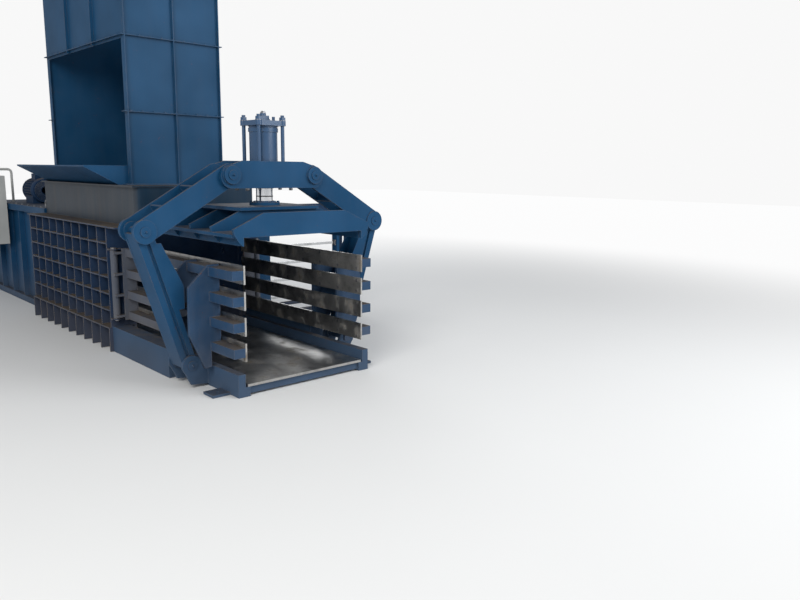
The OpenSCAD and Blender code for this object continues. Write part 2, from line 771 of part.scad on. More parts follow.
// Turning handle on a short shaft through the access door
module door_handle() color(dark_steel) {
    bar_y([door_latch_x, chamber_y - 12, door_latch_z], 12, door_t + 30);
    block([door_latch_x - 14, chamber_y + door_t + 12, door_latch_z - 130],
        [door_latch_x + 14, chamber_y + door_t + 24, door_latch_z + 14]);
    bar_y([door_latch_x, chamber_y + door_t + 23, door_latch_z - 110], 12, 40);
}

// Rear wall that holds the main cylinder, with two gussets behind it
module cylinder_mount() color(deep_blue) {
    difference() {
        block([main_wall_x, -channel_y, rail_top], [main_rear_x, channel_y, deck_z - house_roof_t]);
        bar_x([main_wall_x - e, 0, ram_z], main_barrel_r - 24.7, main_wall_t + 2 * e);
    }
    for (y = [-310, 290]) along(y, 20)
        polygon([[rear_x + 4, rail_top], [main_wall_x + e, rail_top], [main_wall_x + e, ledge_z - 200]]);
}

// Main barrel with its closed end in the mounting wall, a rear flange, a front flange and port bosses
module main_barrel() color(blue) difference() {
    union() {
        bar_x([main_rear_x, 0, ram_z], main_barrel_r, main_front_x - main_rear_x);
        bar_x([main_rear_x, 0, ram_z], main_barrel_r + 60, 40);
        bar_x([main_wall_x, 0, ram_z], main_barrel_r - 25, main_wall_t + e);
        bar_x([main_front_x - 40, 0, ram_z], main_barrel_r + 35, 40);
        bar_z([pipe_rear_x, -pipe_y, ram_z], pipe_r + 14, main_barrel_r + 25);
        bar_z([main_front_x - gland_l - 60, pipe_y, ram_z], pipe_r + 14, main_barrel_r + 25);
    }
    bar_x([main_rear_x + 60, 0, ram_z], main_bore_r, machine_l);
    bar_z([pipe_rear_x, -pipe_y, ram_z], pipe_r - 5, main_barrel_r + 26);
    bar_z([main_front_x - gland_l - 60, pipe_y, ram_z], pipe_r - 5, main_barrel_r + 26);
}

module main_gland() color(steel) difference() {
    union() {
        bar_x([main_front_x - gland_l, 0, ram_z], main_bore_r - pin_gap, gland_l + e);
        bar_x([main_front_x, 0, ram_z], main_barrel_r + 35, 30);
        for (a = [0 : 45 : 315]) translate([main_front_x + 30 - e, 0, ram_z]) rotate([a, 0, 0])
            translate([0, 0, main_barrel_r + 8]) rotate([0, 90, 0]) cylinder(r = 15, h = 17, $fn = 6);
    }
    bar_x([main_front_x - gland_l - e, 0, ram_z], main_rod_r + pin_gap, gland_l + 50);
}

module main_piston() color(steel)
    bar_x([piston_x, 0, ram_z], main_bore_r - pin_gap, piston_t);

module main_rod() color(chrome) {
    bar_x([piston_x + piston_t, 0, ram_z], main_rod_r, ram_face_x - ram_face_t - piston_x - piston_t);
    bar_x([ram_face_x - ram_face_t - 40, 0, ram_z], main_rod_r + 45, 40);
}

// Ram: open box with a thick slotted front plate and two sliding shoes
module ram() color(deep_blue) difference() {
    union() {
        block([ram_face_x - ram_l, -channel_y + slide_gap, floor_z + slide_gap],
            [ram_face_x, channel_y - slide_gap, roof_z - slide_gap]);
        for (y = [-380, 280]) block([ram_face_x - ram_l, y, floor_z + 0.3], [ram_face_x, y + 100, floor_z + slide_gap + e]);
    }
    block([ram_face_x - ram_l - e, -channel_y + slide_gap + ram_wall, floor_z + slide_gap + ram_wall],
        [ram_face_x - ram_face_t, channel_y - slide_gap - ram_wall, roof_z - slide_gap - ram_wall]);
    for (i = [0 : beam_count])
        block([ram_face_x - ram_slot_d, -channel_y, slot_z(i) - ram_slot_h / 2],
            [ram_face_x + e, channel_y, slot_z(i) + ram_slot_h / 2]);
    block([ram_face_x - knife_t - 1, -channel_y, roof_z - slide_gap - ram_knife_h],
        [ram_face_x + e, channel_y, roof_z]);
}

module ram_knife() color(dark_steel)
    block([ram_face_x - knife_t - 1, -channel_y + slide_gap, roof_z - slide_gap - ram_knife_h],
        [ram_face_x, channel_y - slide_gap, roof_z - 1]);

// Foot lugs: two plates on each side that carry the foot pins
module clamp_lugs() color(blue) both_hands() difference() {
    plate_pair(lug_in, lug_out) {
        translate(foot) circle(r = lug_r);
        polygon([[rail_out, 15], [rail_out, lug_top], [foot_y - 97, lug_top],
            foot + lug_r * [cos(135), sin(135)], foot, foot + lug_r * [cos(-45), sin(-45)], [foot_y + 12, 30]]);
    }
    clamp_bar(foot, pin_r + pin_gap, lug_out + e);
}

// A linkage pin with a head at each end
module linkage_pin(p, half) {
    clamp_bar(p, pin_r, half + e);
    plate_pair(half, half + pin_head_t) translate(p) circle(r = pin_head_r);
}

module foot_pins() color(blue) both_hands() linkage_pin(foot, lug_out);
module knee_pin() color(blue) linkage_pin(knee, disc_out);
module crosshead_pins() color(blue) both_hands() linkage_pin(head_pin, head_half + head_boss_t);

// Lever: a box of two plates with recessed closing plates, and a gusset towards the side wall
module lever() color(blue) difference() {
    union() {
        plate_pair(lever_in, lever_out) difference() {
            union() {
                strap(knee, lever_top_r, foot, lever_foot_r);
                polygon([knee + [-20, -90], knee + [-130, -89], knee + [-165, -165], knee + [-244, -315],
                [lever_gusset_y, pusher_z + 212], [lever_gusset_y, pusher_z + pusher_h / 2 + 8],
                [foot_y + 80, pusher_z + pusher_h / 2 + 5], [foot_y + 160, pusher_z + 40]]);
            }
            lever_groove_outline(0);
        }
        plate_pair(lever_in - lever_floor_t, lever_in + e) lever_groove_outline(4);
        across(clamp_x - lever_out, 2 * lever_out)
            side_bar(knee, foot, -lever_flange_out, -lever_flange_out + lever_flange_t);
        across(clamp_x - lever_in - e, 2 * (lever_in + e)) {
            side_bar(knee, foot, lever_web_out, lever_web_out - lever_web_t);
            translate([lever_gusset_y, pusher_z + 100]) square([lever_web_t, 112]);
        }
        plate_pair(lever_out - e, lug_in - 0.5) translate(foot) circle(r = lever_foot_r - 6);
    }
    clamp_bar(knee, pin_r + pin_gap, lever_out + e);
    clamp_bar(foot, pin_r + pin_gap, lug_in + e);
}

// Groove between the flange and the face plate, from below the knee to above the foot
module lever_groove_outline(grow) {
    u = (foot - knee) / norm(foot - knee);
    low = lever_groove_at - grow;
    side_bar(knee + u * (lever_top_r + 14 - grow), foot - u * (lever_foot_r + 14 - grow), low, low + lever_groove + 2 * grow);
}

// Block on the lever that presses on the side wall, with a round nose and a slanting rear end
module pusher() color(dark_steel) across(clamp_x - lever_in, 2 * lever_in) {
    slant = (knee_y - foot_y) / (knee_z - foot_z);
    translate([pusher_nose_y + pusher_h / 2, pusher_z]) circle(d = pusher_h);
    polygon([[pusher_nose_y + pusher_h / 2, pusher_z - pusher_h / 2], [pusher_nose_y + pusher_l, pusher_z - pusher_h / 2],
        [pusher_nose_y + pusher_l + slant * pusher_h, pusher_z + pusher_h / 2],
        [pusher_nose_y + pusher_h / 2, pusher_z + pusher_h / 2]]);
}

// Link: two plates with a disc on the lower end and cross webs between them
module link() color(blue) difference() {
    union() {
        plate_pair(link_in, link_out) {
            strap(knee, link_r, head_pin, link_r);
            translate(knee) circle(r = link_disc_r);
        }
        plate_pair(link_out - e, disc_out) translate(knee) circle(r = link_disc_r);
        for (f = [0.27, 0.62]) across(clamp_x - link_in - e, 2 * (link_in + e)) link_web(f);
    }
    clamp_bar(knee, pin_r + pin_gap, disc_out + e);
    clamp_bar(head_pin + head_shift, pin_r + head_play, link_out + e);
}

// Cross web at a share of the link's length, a plate square to the link
module link_web(f) {
    u = (head_pin - knee) / norm(head_pin - knee);
    n = [-u[1], u[0]];
    c = knee + (head_pin - knee) * f;
    polygon([c - n * link_r * 0.9, c + n * link_r, c + n * link_r + u * link_web_t, c - n * link_r * 0.9 + u * link_web_t]);
}

// Crosshead: two plates with rounded ends and chamfered shoulders, a floor and two upright webs
module crosshead() color(blue) difference() {
    union() {
        plate_pair(head_in, head_half) crosshead_outline();
        plate_pair(head_half - e, head_half + head_boss_t) both_pins() circle(r = pin_r + 41);
        block([clamp_x - head_in - e, -head_floor_half, head_floor_z],
            [clamp_x + head_in + e, head_floor_half, clamp_foot_z]);
        for (y = [-head_floor_half, head_floor_half - 20])
            block([clamp_x - head_in - e, y, head_floor_z], [clamp_x + head_in + e, y + 20, head_z + 60]);
    }
    for (x = [-1, 1], y = [-1, 1])
        bar_z([clamp_x + x * tie_span / 2, y * tie_span / 2, head_floor_z - e], tie_r + pin_gap, head_floor_t + 2 * e);
    both_hands() clamp_bar(head_pin, pin_r + pin_gap, head_half + head_boss_t + e);
    bar_z([clamp_x, 0, head_floor_z - e], clamp_rod_r + clamp_play, head_floor_t + 2 * e);
}

module both_pins() for (s = [-1, 1]) translate([s * head_pin_y, head_z]) children();

module crosshead_outline() difference() {
    union() {
        both_pins() translate([0, -head_end_drop]) circle(r = head_r - head_end_drop);
        translate([-head_pin_y, head_z - head_r]) square([2 * head_pin_y, head_r + head_top]);
    }
    for (s = [-1, 1]) polygon([[s * (head_pin_y - 110), head_z + head_top + e],
        [s * (head_pin_y + 95), head_z + head_top - 59], [s * (head_pin_y + head_r + e), head_z + head_top + e]]);
}

// Clamp barrel, standing on the crosshead's floor
module clamp_barrel() color(blue) difference() {
    union() {
        bar_z([clamp_x, 0, clamp_foot_z], clamp_barrel_r, clamp_cap_z - clamp_cap_t - clamp_foot_z);
        bar_z([clamp_x, 0, clamp_foot_z], clamp_barrel_r + 1, 30);
    }
    bar_z([clamp_x, 0, clamp_foot_z - e], clamp_bore_r, clamp_cap_z);
}

// Cap with its port block and fittings
module clamp_cap() color(blue) {
    cap_low = clamp_cap_z - clamp_cap_t;
    difference() {
        union() {
            block([clamp_x - clamp_cap_w / 2, -clamp_cap_w / 2, cap_low],
                [clamp_x + clamp_cap_w / 2, clamp_cap_w / 2, clamp_cap_z]);
            for (x = [-1, 1], y = [-1, 1])
                bar_z([clamp_x + x * tie_span / 2, y * tie_span / 2, cap_low], clamp_cap_over, clamp_cap_t);
        }
        for (x = [-1, 1], y = [-1, 1])
            bar_z([clamp_x + x * tie_span / 2, y * tie_span / 2, cap_low - e], tie_r + pin_gap, clamp_cap_t + 2 * e);
    }
    block([clamp_x - 40, -30, clamp_cap_z - e], [clamp_x + 30, 40, clamp_cap_z + 42]);
    bar_z([clamp_x - 5, 5, clamp_cap_z + 41], 24, 22);
    bar_z([clamp_x + 62, 60, clamp_cap_z - e], 12, 34);
}

// Tie rods, screwed into the crosshead's floor, with nuts on the cap
module clamp_tie_rods() color(steel) for (x = [-1, 1], y = [-1, 1]) {
    p = [clamp_x + x * tie_span / 2, y * tie_span / 2];
    bar_z([p[0], p[1], head_floor_z], tie_r, clamp_cap_z + 44 - head_floor_z);
    hex_z([p[0], p[1], clamp_cap_z], 48, 27);
}

// Clamp rod, hung on a pin between two lugs on the platen so that it can stay upright
module clamp_rod() color(chrome) difference() {
    union() {
        bar_z([clamp_x, 0, clamp_shoulder_z], clamp_rod_r, clamp_piston_z - clamp_shoulder_z);
        bar_y([clamp_x, -clamp_eye_half, platen_pin_z], clamp_eye_r, 2 * clamp_eye_half);
        block([clamp_x - clamp_eye_r, -clamp_eye_half, platen_pin_z],
            [clamp_x + clamp_eye_r, clamp_eye_half, clamp_shoulder_z + e]);
    }
    bar_y([clamp_x, -clamp_rod_r, platen_pin_z], clamp_eye_pin_r + pin_gap, 2 * clamp_rod_r);
}

module clamp_piston() color(steel)
    bar_z([clamp_x, 0, clamp_piston_z], clamp_bore_r - clamp_play, 60);

// Platen: bottom plate, lips with toes, cross ribs, hinge knuckles and the lugs of the clamp rod
module platen() color(blue) difference() {
    union() {
        block([platen_hinge_x + 40, -platen_half_w, roof_z], [mouth_x - platen_rib_t, platen_half_w, platen_top]);
        for (i = [0 : platen_ribs - 1]) across(mouth_x - platen_rib_t - i * platen_rib_pitch, platen_rib_t)
            platen_rib_outline();
        both_hands() block([platen_hinge_x + 60, channel_y + 2, roof_z - platen_lip],
            [mouth_x - platen_rib_t - 15, channel_y + 2 + platen_lip_t, roof_z + e]);
        both_hands() platen_knuckle();
        both_hands() block([clamp_x - 55, clamp_eye_half + 2, platen_top - e],
            [clamp_x + 55, clamp_eye_half + 27, platen_pin_z + 45]);
        bar_y([clamp_x, -clamp_eye_half - 10, platen_pin_z], clamp_eye_pin_r, 2 * clamp_eye_half + 20);
    }
    both_hands() bar_y([platen_hinge_x, platen_ears[0], platen_pin_z], platen_pin_r + pin_gap, 140);
}

module platen_knuckle() along(platen_ears[0] + platen_ear_t + 1, platen_ears[1] - platen_ears[0] - platen_ear_t - 2) {
    translate([platen_hinge_x, platen_pin_z]) circle(r = platen_pin_r + 20);
    polygon([[platen_hinge_x - 20, platen_pin_z - 46], [platen_hinge_x + 44, roof_z + e], [platen_hinge_x + platen_knuckle_l, roof_z + e],
        [platen_hinge_x + platen_knuckle_l, platen_top], [platen_hinge_x + 30, platen_pin_z + 40], [platen_hinge_x, platen_pin_z + 50]]);
}

module platen_rib_outline() {
    tip = platen_half_w;
    crown = 0.595 * platen_half_w;
    polygon([[-tip, platen_top + 38], [-crown, platen_rib_top], [crown, platen_rib_top], [tip, platen_top + 38],
        [tip - 10, roof_z + 18], [tip - 50, roof_z - platen_lip + 22], [tip - 75, roof_z - platen_lip], [tip - 85, roof_z - platen_lip],
        [tip - 85, roof_z], [85 - tip, roof_z], [85 - tip, roof_z - platen_lip], [75 - tip, roof_z - platen_lip],
        [50 - tip, roof_z - platen_lip + 22], [10 - tip, roof_z + 18]]);
}

// Plate across the platen's ribs with the collar that the clamp rod passes through
module top_plate() color(blue) difference() {
    union() {
        block([clamp_x - top_plate_back, -platen_half_w + top_plate_in, platen_rib_top],
            [clamp_x + top_plate_front, top_plate_half_w - 60, top_plate_z]);
        bar_z([clamp_x, 0, top_plate_z - e], clamp_rod_r + 56, collar_h);
        for (a = [0 : 60 : 300])
            hex_z([clamp_x + (clamp_rod_r + 42) * cos(a), (clamp_rod_r + 42) * sin(a), top_plate_z + collar_h - 2 * e], 22, 12);
    }
    bar_z([clamp_x, 0, platen_rib_top - e], clamp_rod_r + 12, top_plate_t + collar_h + 2 * e);
}

// Side wall: beams, two upright ribs, a pad for the pusher, an end plate and hinge knuckles
module side_wall() color(blue) difference() {
    union() {
        for (i = [0 : beam_count - 1])
            block([hinge_x + wall_knuckle_r, beam_in_y, beam_z(i) - beam_h / 2], [mouth_x, beam_out_y, beam_z(i) + beam_h / 2]);
        across(mouth_x - wall_rib_front - wall_rib_t, wall_rib_t) wall_rib_outline(foot_z - 8);
        across(wall_rib_rear - wall_rib_t, wall_rib_t) wall_rib_outline(foot_z + lug_r + 14);
        block([wall_rib_rear - e, beam_out_y - e, pusher_z - 40], [mouth_x - wall_rib_front - wall_rib_t + e, wall_pad_y, pusher_z + 40]);
        block([hinge_x + wall_knuckle_r, beam_in_y, beam_z(0) - 40], [hinge_x + wall_knuckle_r + 20, beam_out_y + 30, beam_z(beam_count - 1) + 40]);
        bar_z([hinge_x, wall_pin_y, wall_tube_low], wall_knuckle_r, wall_tube_top - wall_tube_low);
        for (i = [0 : beam_count - 1])
            block([hinge_x, beam_out_y, beam_z(i) - 10], [hinge_x + wall_knuckle_r + 20, wall_pin_y + 20, beam_z(i) + 10]);
    }
    bar_z([hinge_x, wall_pin_y, 0], wall_pin_r + pin_gap, ledge_z);
}

module wall_rib_outline(low) {
    top = beam_z(beam_count - 1) + beam_h / 2;
    outer = wall_pad_y + 72;
    in_y = beam_in_y + 6;
    difference() {
        polygon([[in_y, top + 17], [beam_out_y + 2, top + 13], [outer - 7, top - 147], [outer, beam_z(0) + 113],
            [beam_out_y + 50, low], [beam_out_y - 2, low + 8], [beam_out_y - 2, beam_z(0) - beam_h / 2], [in_y, beam_z(0) - beam_h / 2]]);
        square([rail_out, low]);
    }
}

module wear_strips() color(steel) for (i = [0 : beam_count - 1])
    block([hinge_x + wall_knuckle_r, channel_y, beam_z(i) - strip_h / 2], [mouth_x, beam_in_y, beam_z(i) + strip_h / 2]);

// Pins of the side walls' hinges and of the platen's hinge
module hinge_pins() color(dark_steel) both_hands() {
    pin_low = wall_tube_low - plate_gap - crate_t - 10;
    pin_top = wall_tube_top + plate_gap + crate_t;
    bar_z([hinge_x, wall_pin_y, pin_low], wall_pin_r, pin_top - pin_low + e);
    bar_z([hinge_x, wall_pin_y, pin_top], wall_pin_r + 8, 12);
    bar_y([platen_hinge_x, platen_ears[0] - 12, platen_pin_z], platen_pin_r,
        platen_ears[1] - platen_ears[0] + platen_ear_t + 24);
}

// Oil tank on the deck, on four feet, with a filler neck
module oil_tank() color(deep_blue) {
    block([tank_x, tank_y, tank_z], [tank_x + tank_l, tank_y + tank_w, tank_z + tank_h]);
    for (x = [tank_x + 20, tank_x + tank_l - 80], y = [tank_y + 20, tank_y + tank_w - 60])
        block([x, y, deck_z], [x + 60, y + 40, tank_z + e]);
    bar_z([tank_x + 150, tank_y + 150, tank_z + tank_h - e], 40, 41);
}

module tank_cap() color(dark_steel) difference() {
    bar_z([tank_x + 150, tank_y + 150, tank_z + tank_h + 10], 52, 60);
    bar_z([tank_x + 150, tank_y + 150, tank_z + tank_h + 9], 40 + pin_gap, 31);
}

// Pump motor with fins, feet, a terminal box and a fan cowl
module pump_motor() color(deep_blue) {
    bar_x([motor_x, motor_y, motor_z], motor_r, motor_l);
    for (i = [0 : 7]) bar_x([motor_x + 40 + i * (motor_l - 90) / 7, motor_y, motor_z], motor_r + 12, 8);
    bar_x([motor_x - 20, motor_y, motor_z], motor_r + 14, 20 + e);
    block([motor_x + 60, motor_y - motor_r, deck_z], [motor_x + motor_l - 60, motor_y + motor_r, motor_z - motor_r / 2]);
    block([motor_x + 110, motor_y - 70, motor_z + motor_r - 10], [motor_x + 250, motor_y + 70, motor_z + motor_r + 70]);
}

module pump() color(dark_steel) {
    bar_x([motor_x - 120, motor_y, motor_z], 95, 100);
    bar_x([motor_x - pump_l, motor_y, motor_z], 70, pump_l - 119);
    bar_y([motor_x - pump_l + 35, motor_y, motor_z], 30, tank_y - motor_y);
    bar_z([pump_port_x, motor_y, motor_z - pump_port_down], pipe_r + 8, pump_port_down - 40);
}

// Valve block with four solenoid valves, on the deck behind the tank
module valve_block() color(dark_steel) {
    block([valve_x, -150, deck_z], [valve_x + 200, 150, deck_z + 130]);
    for (i = [0 : 3]) {
        y = -130 + i * 70;
        block([valve_x + 60, y, deck_z + 129], [valve_x + 140, y + 50, deck_z + 185]);
        bar_x([valve_x - 10, y + 25, deck_z + 157], 22, 220);
    }
}

// Steel pipes: from the pump to the valve block and from there to both ports of the main barrel
module main_pipes() color(steel) {
    port_z = ram_z + main_barrel_r + 25;
    port_x = main_front_x - gland_l - 60;
    bar_z([pipe_rear_x, -pipe_y, port_z], pipe_r, pipe_deck_z - port_z);
    bar_x([pipe_rear_x, -pipe_y, pipe_deck_z], pipe_r, valve_x - pipe_rear_x);
    bar_z([pipe_front_x, pipe_y, pipe_run_z], pipe_r, pipe_deck_z - pipe_run_z);
    bar_x([pipe_front_x, pipe_y, pipe_deck_z], pipe_r, valve_x - pipe_front_x);
    bar_x([pipe_front_x, pipe_y, pipe_run_z], pipe_r, port_x - pipe_front_x);
    bar_z([port_x, pipe_y, port_z], pipe_r, pipe_run_z - port_z);
    bar_z([pump_port_x, motor_y, pipe_deck_z], pipe_r, motor_z - pump_port_down - pipe_deck_z);
    bar_y([pump_port_x, motor_y, pipe_deck_z], pipe_r, -80 - motor_y);
    bar_x([valve_x + 200, -80, pipe_deck_z], pipe_r, pump_port_x - valve_x - 200);
    for (p = [[pipe_rear_x, -pipe_y, pipe_deck_z], [pipe_front_x, pipe_y, pipe_deck_z],
            [pipe_front_x, pipe_y, pipe_run_z], [port_x, pipe_y, pipe_run_z],
            [pump_port_x, motor_y, pipe_deck_z], [pump_port_x, -80, pipe_deck_z]])
        translate(p) sphere(r = pipe_r);
}

// Control cabinet on the right side of the ram house, on two brackets, with two hinge lugs
module control_cabinet() color(grey) right_hand() difference() {
    union() {
        block([cabinet_x, cabinet_y, cabinet_z], [cabinet_x + cabinet_w, cabinet_front, cabinet_z + cabinet_h]);
        for (z = [cabinet_z + 60, cabinet_z + 300])
            block([cabinet_x + 100, chamber_y, z], [cabinet_x + cabinet_w - 100, cabinet_y + e, z + 40]);
        for (z = cabinet_hinges) {
            bar_z([cabinet_pin_x, cabinet_pin_y, z], 9, 30);
            block([cabinet_x, cabinet_front - 10, z], [cabinet_pin_x + 8, cabinet_pin_y, z + 30]);
        }
    }
    block([cabinet_x + cabinet_wall, cabinet_y + cabinet_wall, cabinet_z + cabinet_wall],
        [cabinet_x + cabinet_w - cabinet_wall, cabinet_front + e, cabinet_z + cabinet_h - cabinet_wall]);
    for (z = cabinet_hinges) {
        bar_z([cabinet_pin_x, cabinet_pin_y, z - e], 5 + pin_gap, 32);
        block([cabinet_pin_x + 10, cabinet_front, z - e], [cabinet_pin_x + 60, cabinet_front + 40, z + 31]);
    }
}

// Door of the control cabinet with its two hinge pins, and holes for what it carries
module cabinet_door() color(grey) right_hand() difference() {
    union() {
        block([cabinet_x + 20, cabinet_front + 1, cabinet_z + 2],
            [cabinet_x + cabinet_w - 2, cabinet_front + 1 + cabinet_door_t, cabinet_z + cabinet_h - 2]);
        for (z = cabinet_hinges) {
            bar_z([cabinet_pin_x, cabinet_pin_y, z + 31], 9, 30);
            block([cabinet_pin_x, cabinet_front + 3, z + 31],
                [cabinet_x + 30, cabinet_front + cabinet_door_t - 1, z + 61]);
            bar_z([cabinet_pin_x, cabinet_pin_y, z - 4], 5, 40);
        }
    }
    for (i = [0 : 1]) bar_y([button_x(i), cabinet_front, button_z], 12, cabinet_door_t + 2);
    bar_y([button_x(2), cabinet_front, button_z], 14 + pin_gap, cabinet_door_t + 2);
}

module push_button(x, stem, r, h) right_hand() {
    bar_y([x, cabinet_front - 6, button_z], stem, cabinet_door_t + 20);
    bar_y([x, cabinet_front + cabinet_door_t + 12, button_z], r, h);
}

module stop_button() color(red) push_button(button_x(0), 11, 32, 22);
module start_button() color(green) push_button(button_x(1), 11, 17, 14);
module main_switch() color(dark_steel) right_hand() {
    bar_y([button_x(2), cabinet_front - 6, button_z], 14, cabinet_door_t + 14);
    bar_y([button_x(2), cabinet_front + cabinet_door_t + 1.5, button_z], 34, 10);
    block([button_x(2) - 8, cabinet_front + cabinet_door_t + 10, button_z - 32],
        [button_x(2) + 8, cabinet_front + cabinet_door_t + 32, button_z + 32]);
}

// Frame of the tying unit on the left side: posts, guide bars and feet
module tier_frame() color(deep_blue) {
    for (y = [tier_in, tier_out]) {
        for (x = [tie_x - tier_half - tier_post, tie_x + tier_half])
            block([x, y, 0], [x + tier_post, y + tier_post, ledge_z + 40]);
        for (z = [guide_low, guide_high])
            block([tie_x - tier_half - e, y, z - 35], [tie_x + tier_half + e, y + tier_post, z + 35]);
        block([tie_x - tier_half - e, y, ledge_z - 2], [tie_x + tier_half + e, y + tier_post, ledge_z + 40]);
    }
    for (x = [tie_x - tier_half - tier_post, tie_x + tier_half])
        block([x, tier_in + tier_post - e, 0], [x + tier_post, tier_out + e, tier_post]);
    for (z = [guide_low, guide_high]) bar_y([tie_x, tier_in, z], guide_r, tier_out - tier_in + tier_post);
}

// Carriage on the two guide bars, with an arm up into the chain guard
module needle_carriage() color(blue) difference() {
    union() {
        block([tie_x - tier_half + 4, carriage_y, guide_low - 50],
            [tie_x + tier_half - 4, carriage_y + carriage_t, guide_high + 45]);
        for (z = [guide_low, guide_high]) bar_y([tie_x, carriage_y, z], guide_r + 18, carriage_sleeve);
        block([tie_x - 6, carriage_y + 5, guide_high + 44], [tie_x + 6, carriage_y + 35, ledge_z + 80]);
    }
    for (z = [guide_low, guide_high]) bar_y([tie_x, carriage_y - e, z], guide_r + pin_gap, carriage_sleeve + 2 * e);
}

// Needles: flat bars with pointed tips, fixed to the front of the carriage
module needles() color(steel) for (i = [0 : beam_count]) across(tie_x - needle_t / 2, needle_t)
    polygon([[needle_tip_y, slot_z(i) - 4], [needle_tip_y + 60, slot_z(i) - needle_h / 2],
        [carriage_y, slot_z(i) - needle_h / 2], [carriage_y, slot_z(i) + needle_h / 2],
        [needle_tip_y + 60, slot_z(i) + needle_h / 2], [needle_tip_y, slot_z(i) + 4]]);

// Chain guard above the carriage, hollow and open below along a slot, with its gear motor
module needle_drive() color(deep_blue) {
    difference() {
        block([tie_x - 40, tier_in, ledge_z + 40], [tie_x + 40, tier_out + tier_post, ledge_z + 130]);
        block([tie_x - 34, tier_in + 6, ledge_z + 46], [tie_x + 34, tier_out + tier_post - 6, ledge_z + 124]);
        block([tie_x - 10, tier_in + tier_post, ledge_z + 39], [tie_x + 10, tier_out, ledge_z + 47]);
    }
    bar_x([tie_x + 39, tier_out - 10, drive_z], 40, 60);
    bar_x([tie_x + 98, tier_out - 10, drive_z], drive_motor_r, drive_motor_l);
    bar_x([tie_x + 97 + drive_motor_l, tier_out - 10, drive_z], drive_motor_r + 6, drive_motor_r / 2);
}

// Closed housing of the twisters, beside the needles, with its motor on top
module twister_box() color(blue) {
    x0 = tie_x + tier_half + tier_post;
    block([x0, tier_in, slot_z(0) - 60], [x0 + twister_l, tier_in + twister_w, slot_z(beam_count) + 90]);
    bar_z([x0 + twister_l / 2, tier_in + twister_w / 2, slot_z(beam_count) + 89], 60, 180);
    for (i = [0 : beam_count]) bar_x([x0 - tier_post + 8, tier_in + 110, slot_z(i)], 14, tier_post - 7);
}

base_frame();
floor_liner();
right_wall();  // right_chamber_wall
right_bay();  // right_needle_bay
chamber_wall(crate_y + 2 * crate_step);  // left_chamber_wall
throat_box();
fixed_knife();
hopper();
hopper_bolts();
feed_chute();
ram_house();
cylinder_mount();
main_barrel();
main_gland();
clamp_lugs();
foot_pins();
hinge_pins();
oil_tank();
tank_cap();
pump_motor();
pump();
valve_block();
main_pipes();
control_cabinet();
cabinet_door();
stop_button();
start_button();
main_switch();
access_door();
door_handle();
tier_frame();
twister_box();
needle_drive();
needle_carriage();
needles();
right_hand() side_wall();  // right_side_wall
side_wall();  // left_side_wall
right_hand() wear_strips();  // right_wear_strips
wear_strips();  // left_wear_strips
platen();
top_plate();
clamp_rod();
clamp_piston();
crosshead();
clamp_barrel();
clamp_cap();
clamp_tie_rods();
crosshead_pins();
right_hand() lever();  // right_lever
lever();  // left_lever
right_hand() knee_pin();  // right_knee_pin
knee_pin();  // left_knee_pin
right_hand() pusher();  // right_pusher
pusher();  // left_pusher
right_hand() link();  // right_link
link();  // left_link
ram();
ram_knife();
main_rod();
main_piston();
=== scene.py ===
"""Looks of a horizontal recycling baler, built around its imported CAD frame.

Lengths are in metres. +X is the way the bales leave, -Y is the side of the feed chute and +Z is up.
"""

import logging
import math
from dataclasses import dataclass
from enum import Enum
from typing import Any, Optional, Sequence, Union

import bpy
import numpy as np
from mathutils import Matrix, Vector

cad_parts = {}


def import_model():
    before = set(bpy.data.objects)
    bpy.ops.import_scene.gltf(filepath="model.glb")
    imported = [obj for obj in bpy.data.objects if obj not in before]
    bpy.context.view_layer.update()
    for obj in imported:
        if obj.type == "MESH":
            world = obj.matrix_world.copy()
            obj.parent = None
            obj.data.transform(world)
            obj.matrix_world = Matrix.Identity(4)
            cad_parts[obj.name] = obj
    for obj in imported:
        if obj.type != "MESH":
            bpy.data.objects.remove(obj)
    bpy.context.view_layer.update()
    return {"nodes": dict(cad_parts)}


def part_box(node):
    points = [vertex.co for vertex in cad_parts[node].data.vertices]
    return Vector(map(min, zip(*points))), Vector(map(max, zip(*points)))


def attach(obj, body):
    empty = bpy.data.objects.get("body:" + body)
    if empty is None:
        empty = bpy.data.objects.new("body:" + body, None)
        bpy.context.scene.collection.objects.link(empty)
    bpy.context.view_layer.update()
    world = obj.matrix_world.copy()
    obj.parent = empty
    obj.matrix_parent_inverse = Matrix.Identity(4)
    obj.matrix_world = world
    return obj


LOG = logging.getLogger("baler")
TAU = 2.0 * math.pi
Colour = tuple[float, float, float]
Array = np.ndarray
Places = tuple[float, ...]
Point = Sequence[float]
Profile = list[tuple[float, float]]


def linear(red: int, green: int, blue: int) -> Colour:
    """Turn an 8-bit screen colour into the linear one that a shader takes.

    Args:
        red, green, blue: Its parts, each 0 to 255.

    Returns:
        The linear colour.
    """
    return tuple(
        c / 12.92 if c <= 0.04045 else ((c + 0.055) / 1.055) ** 2.4
        for c in (red / 255.0, green / 255.0, blue / 255.0)
    )


# Shader maths


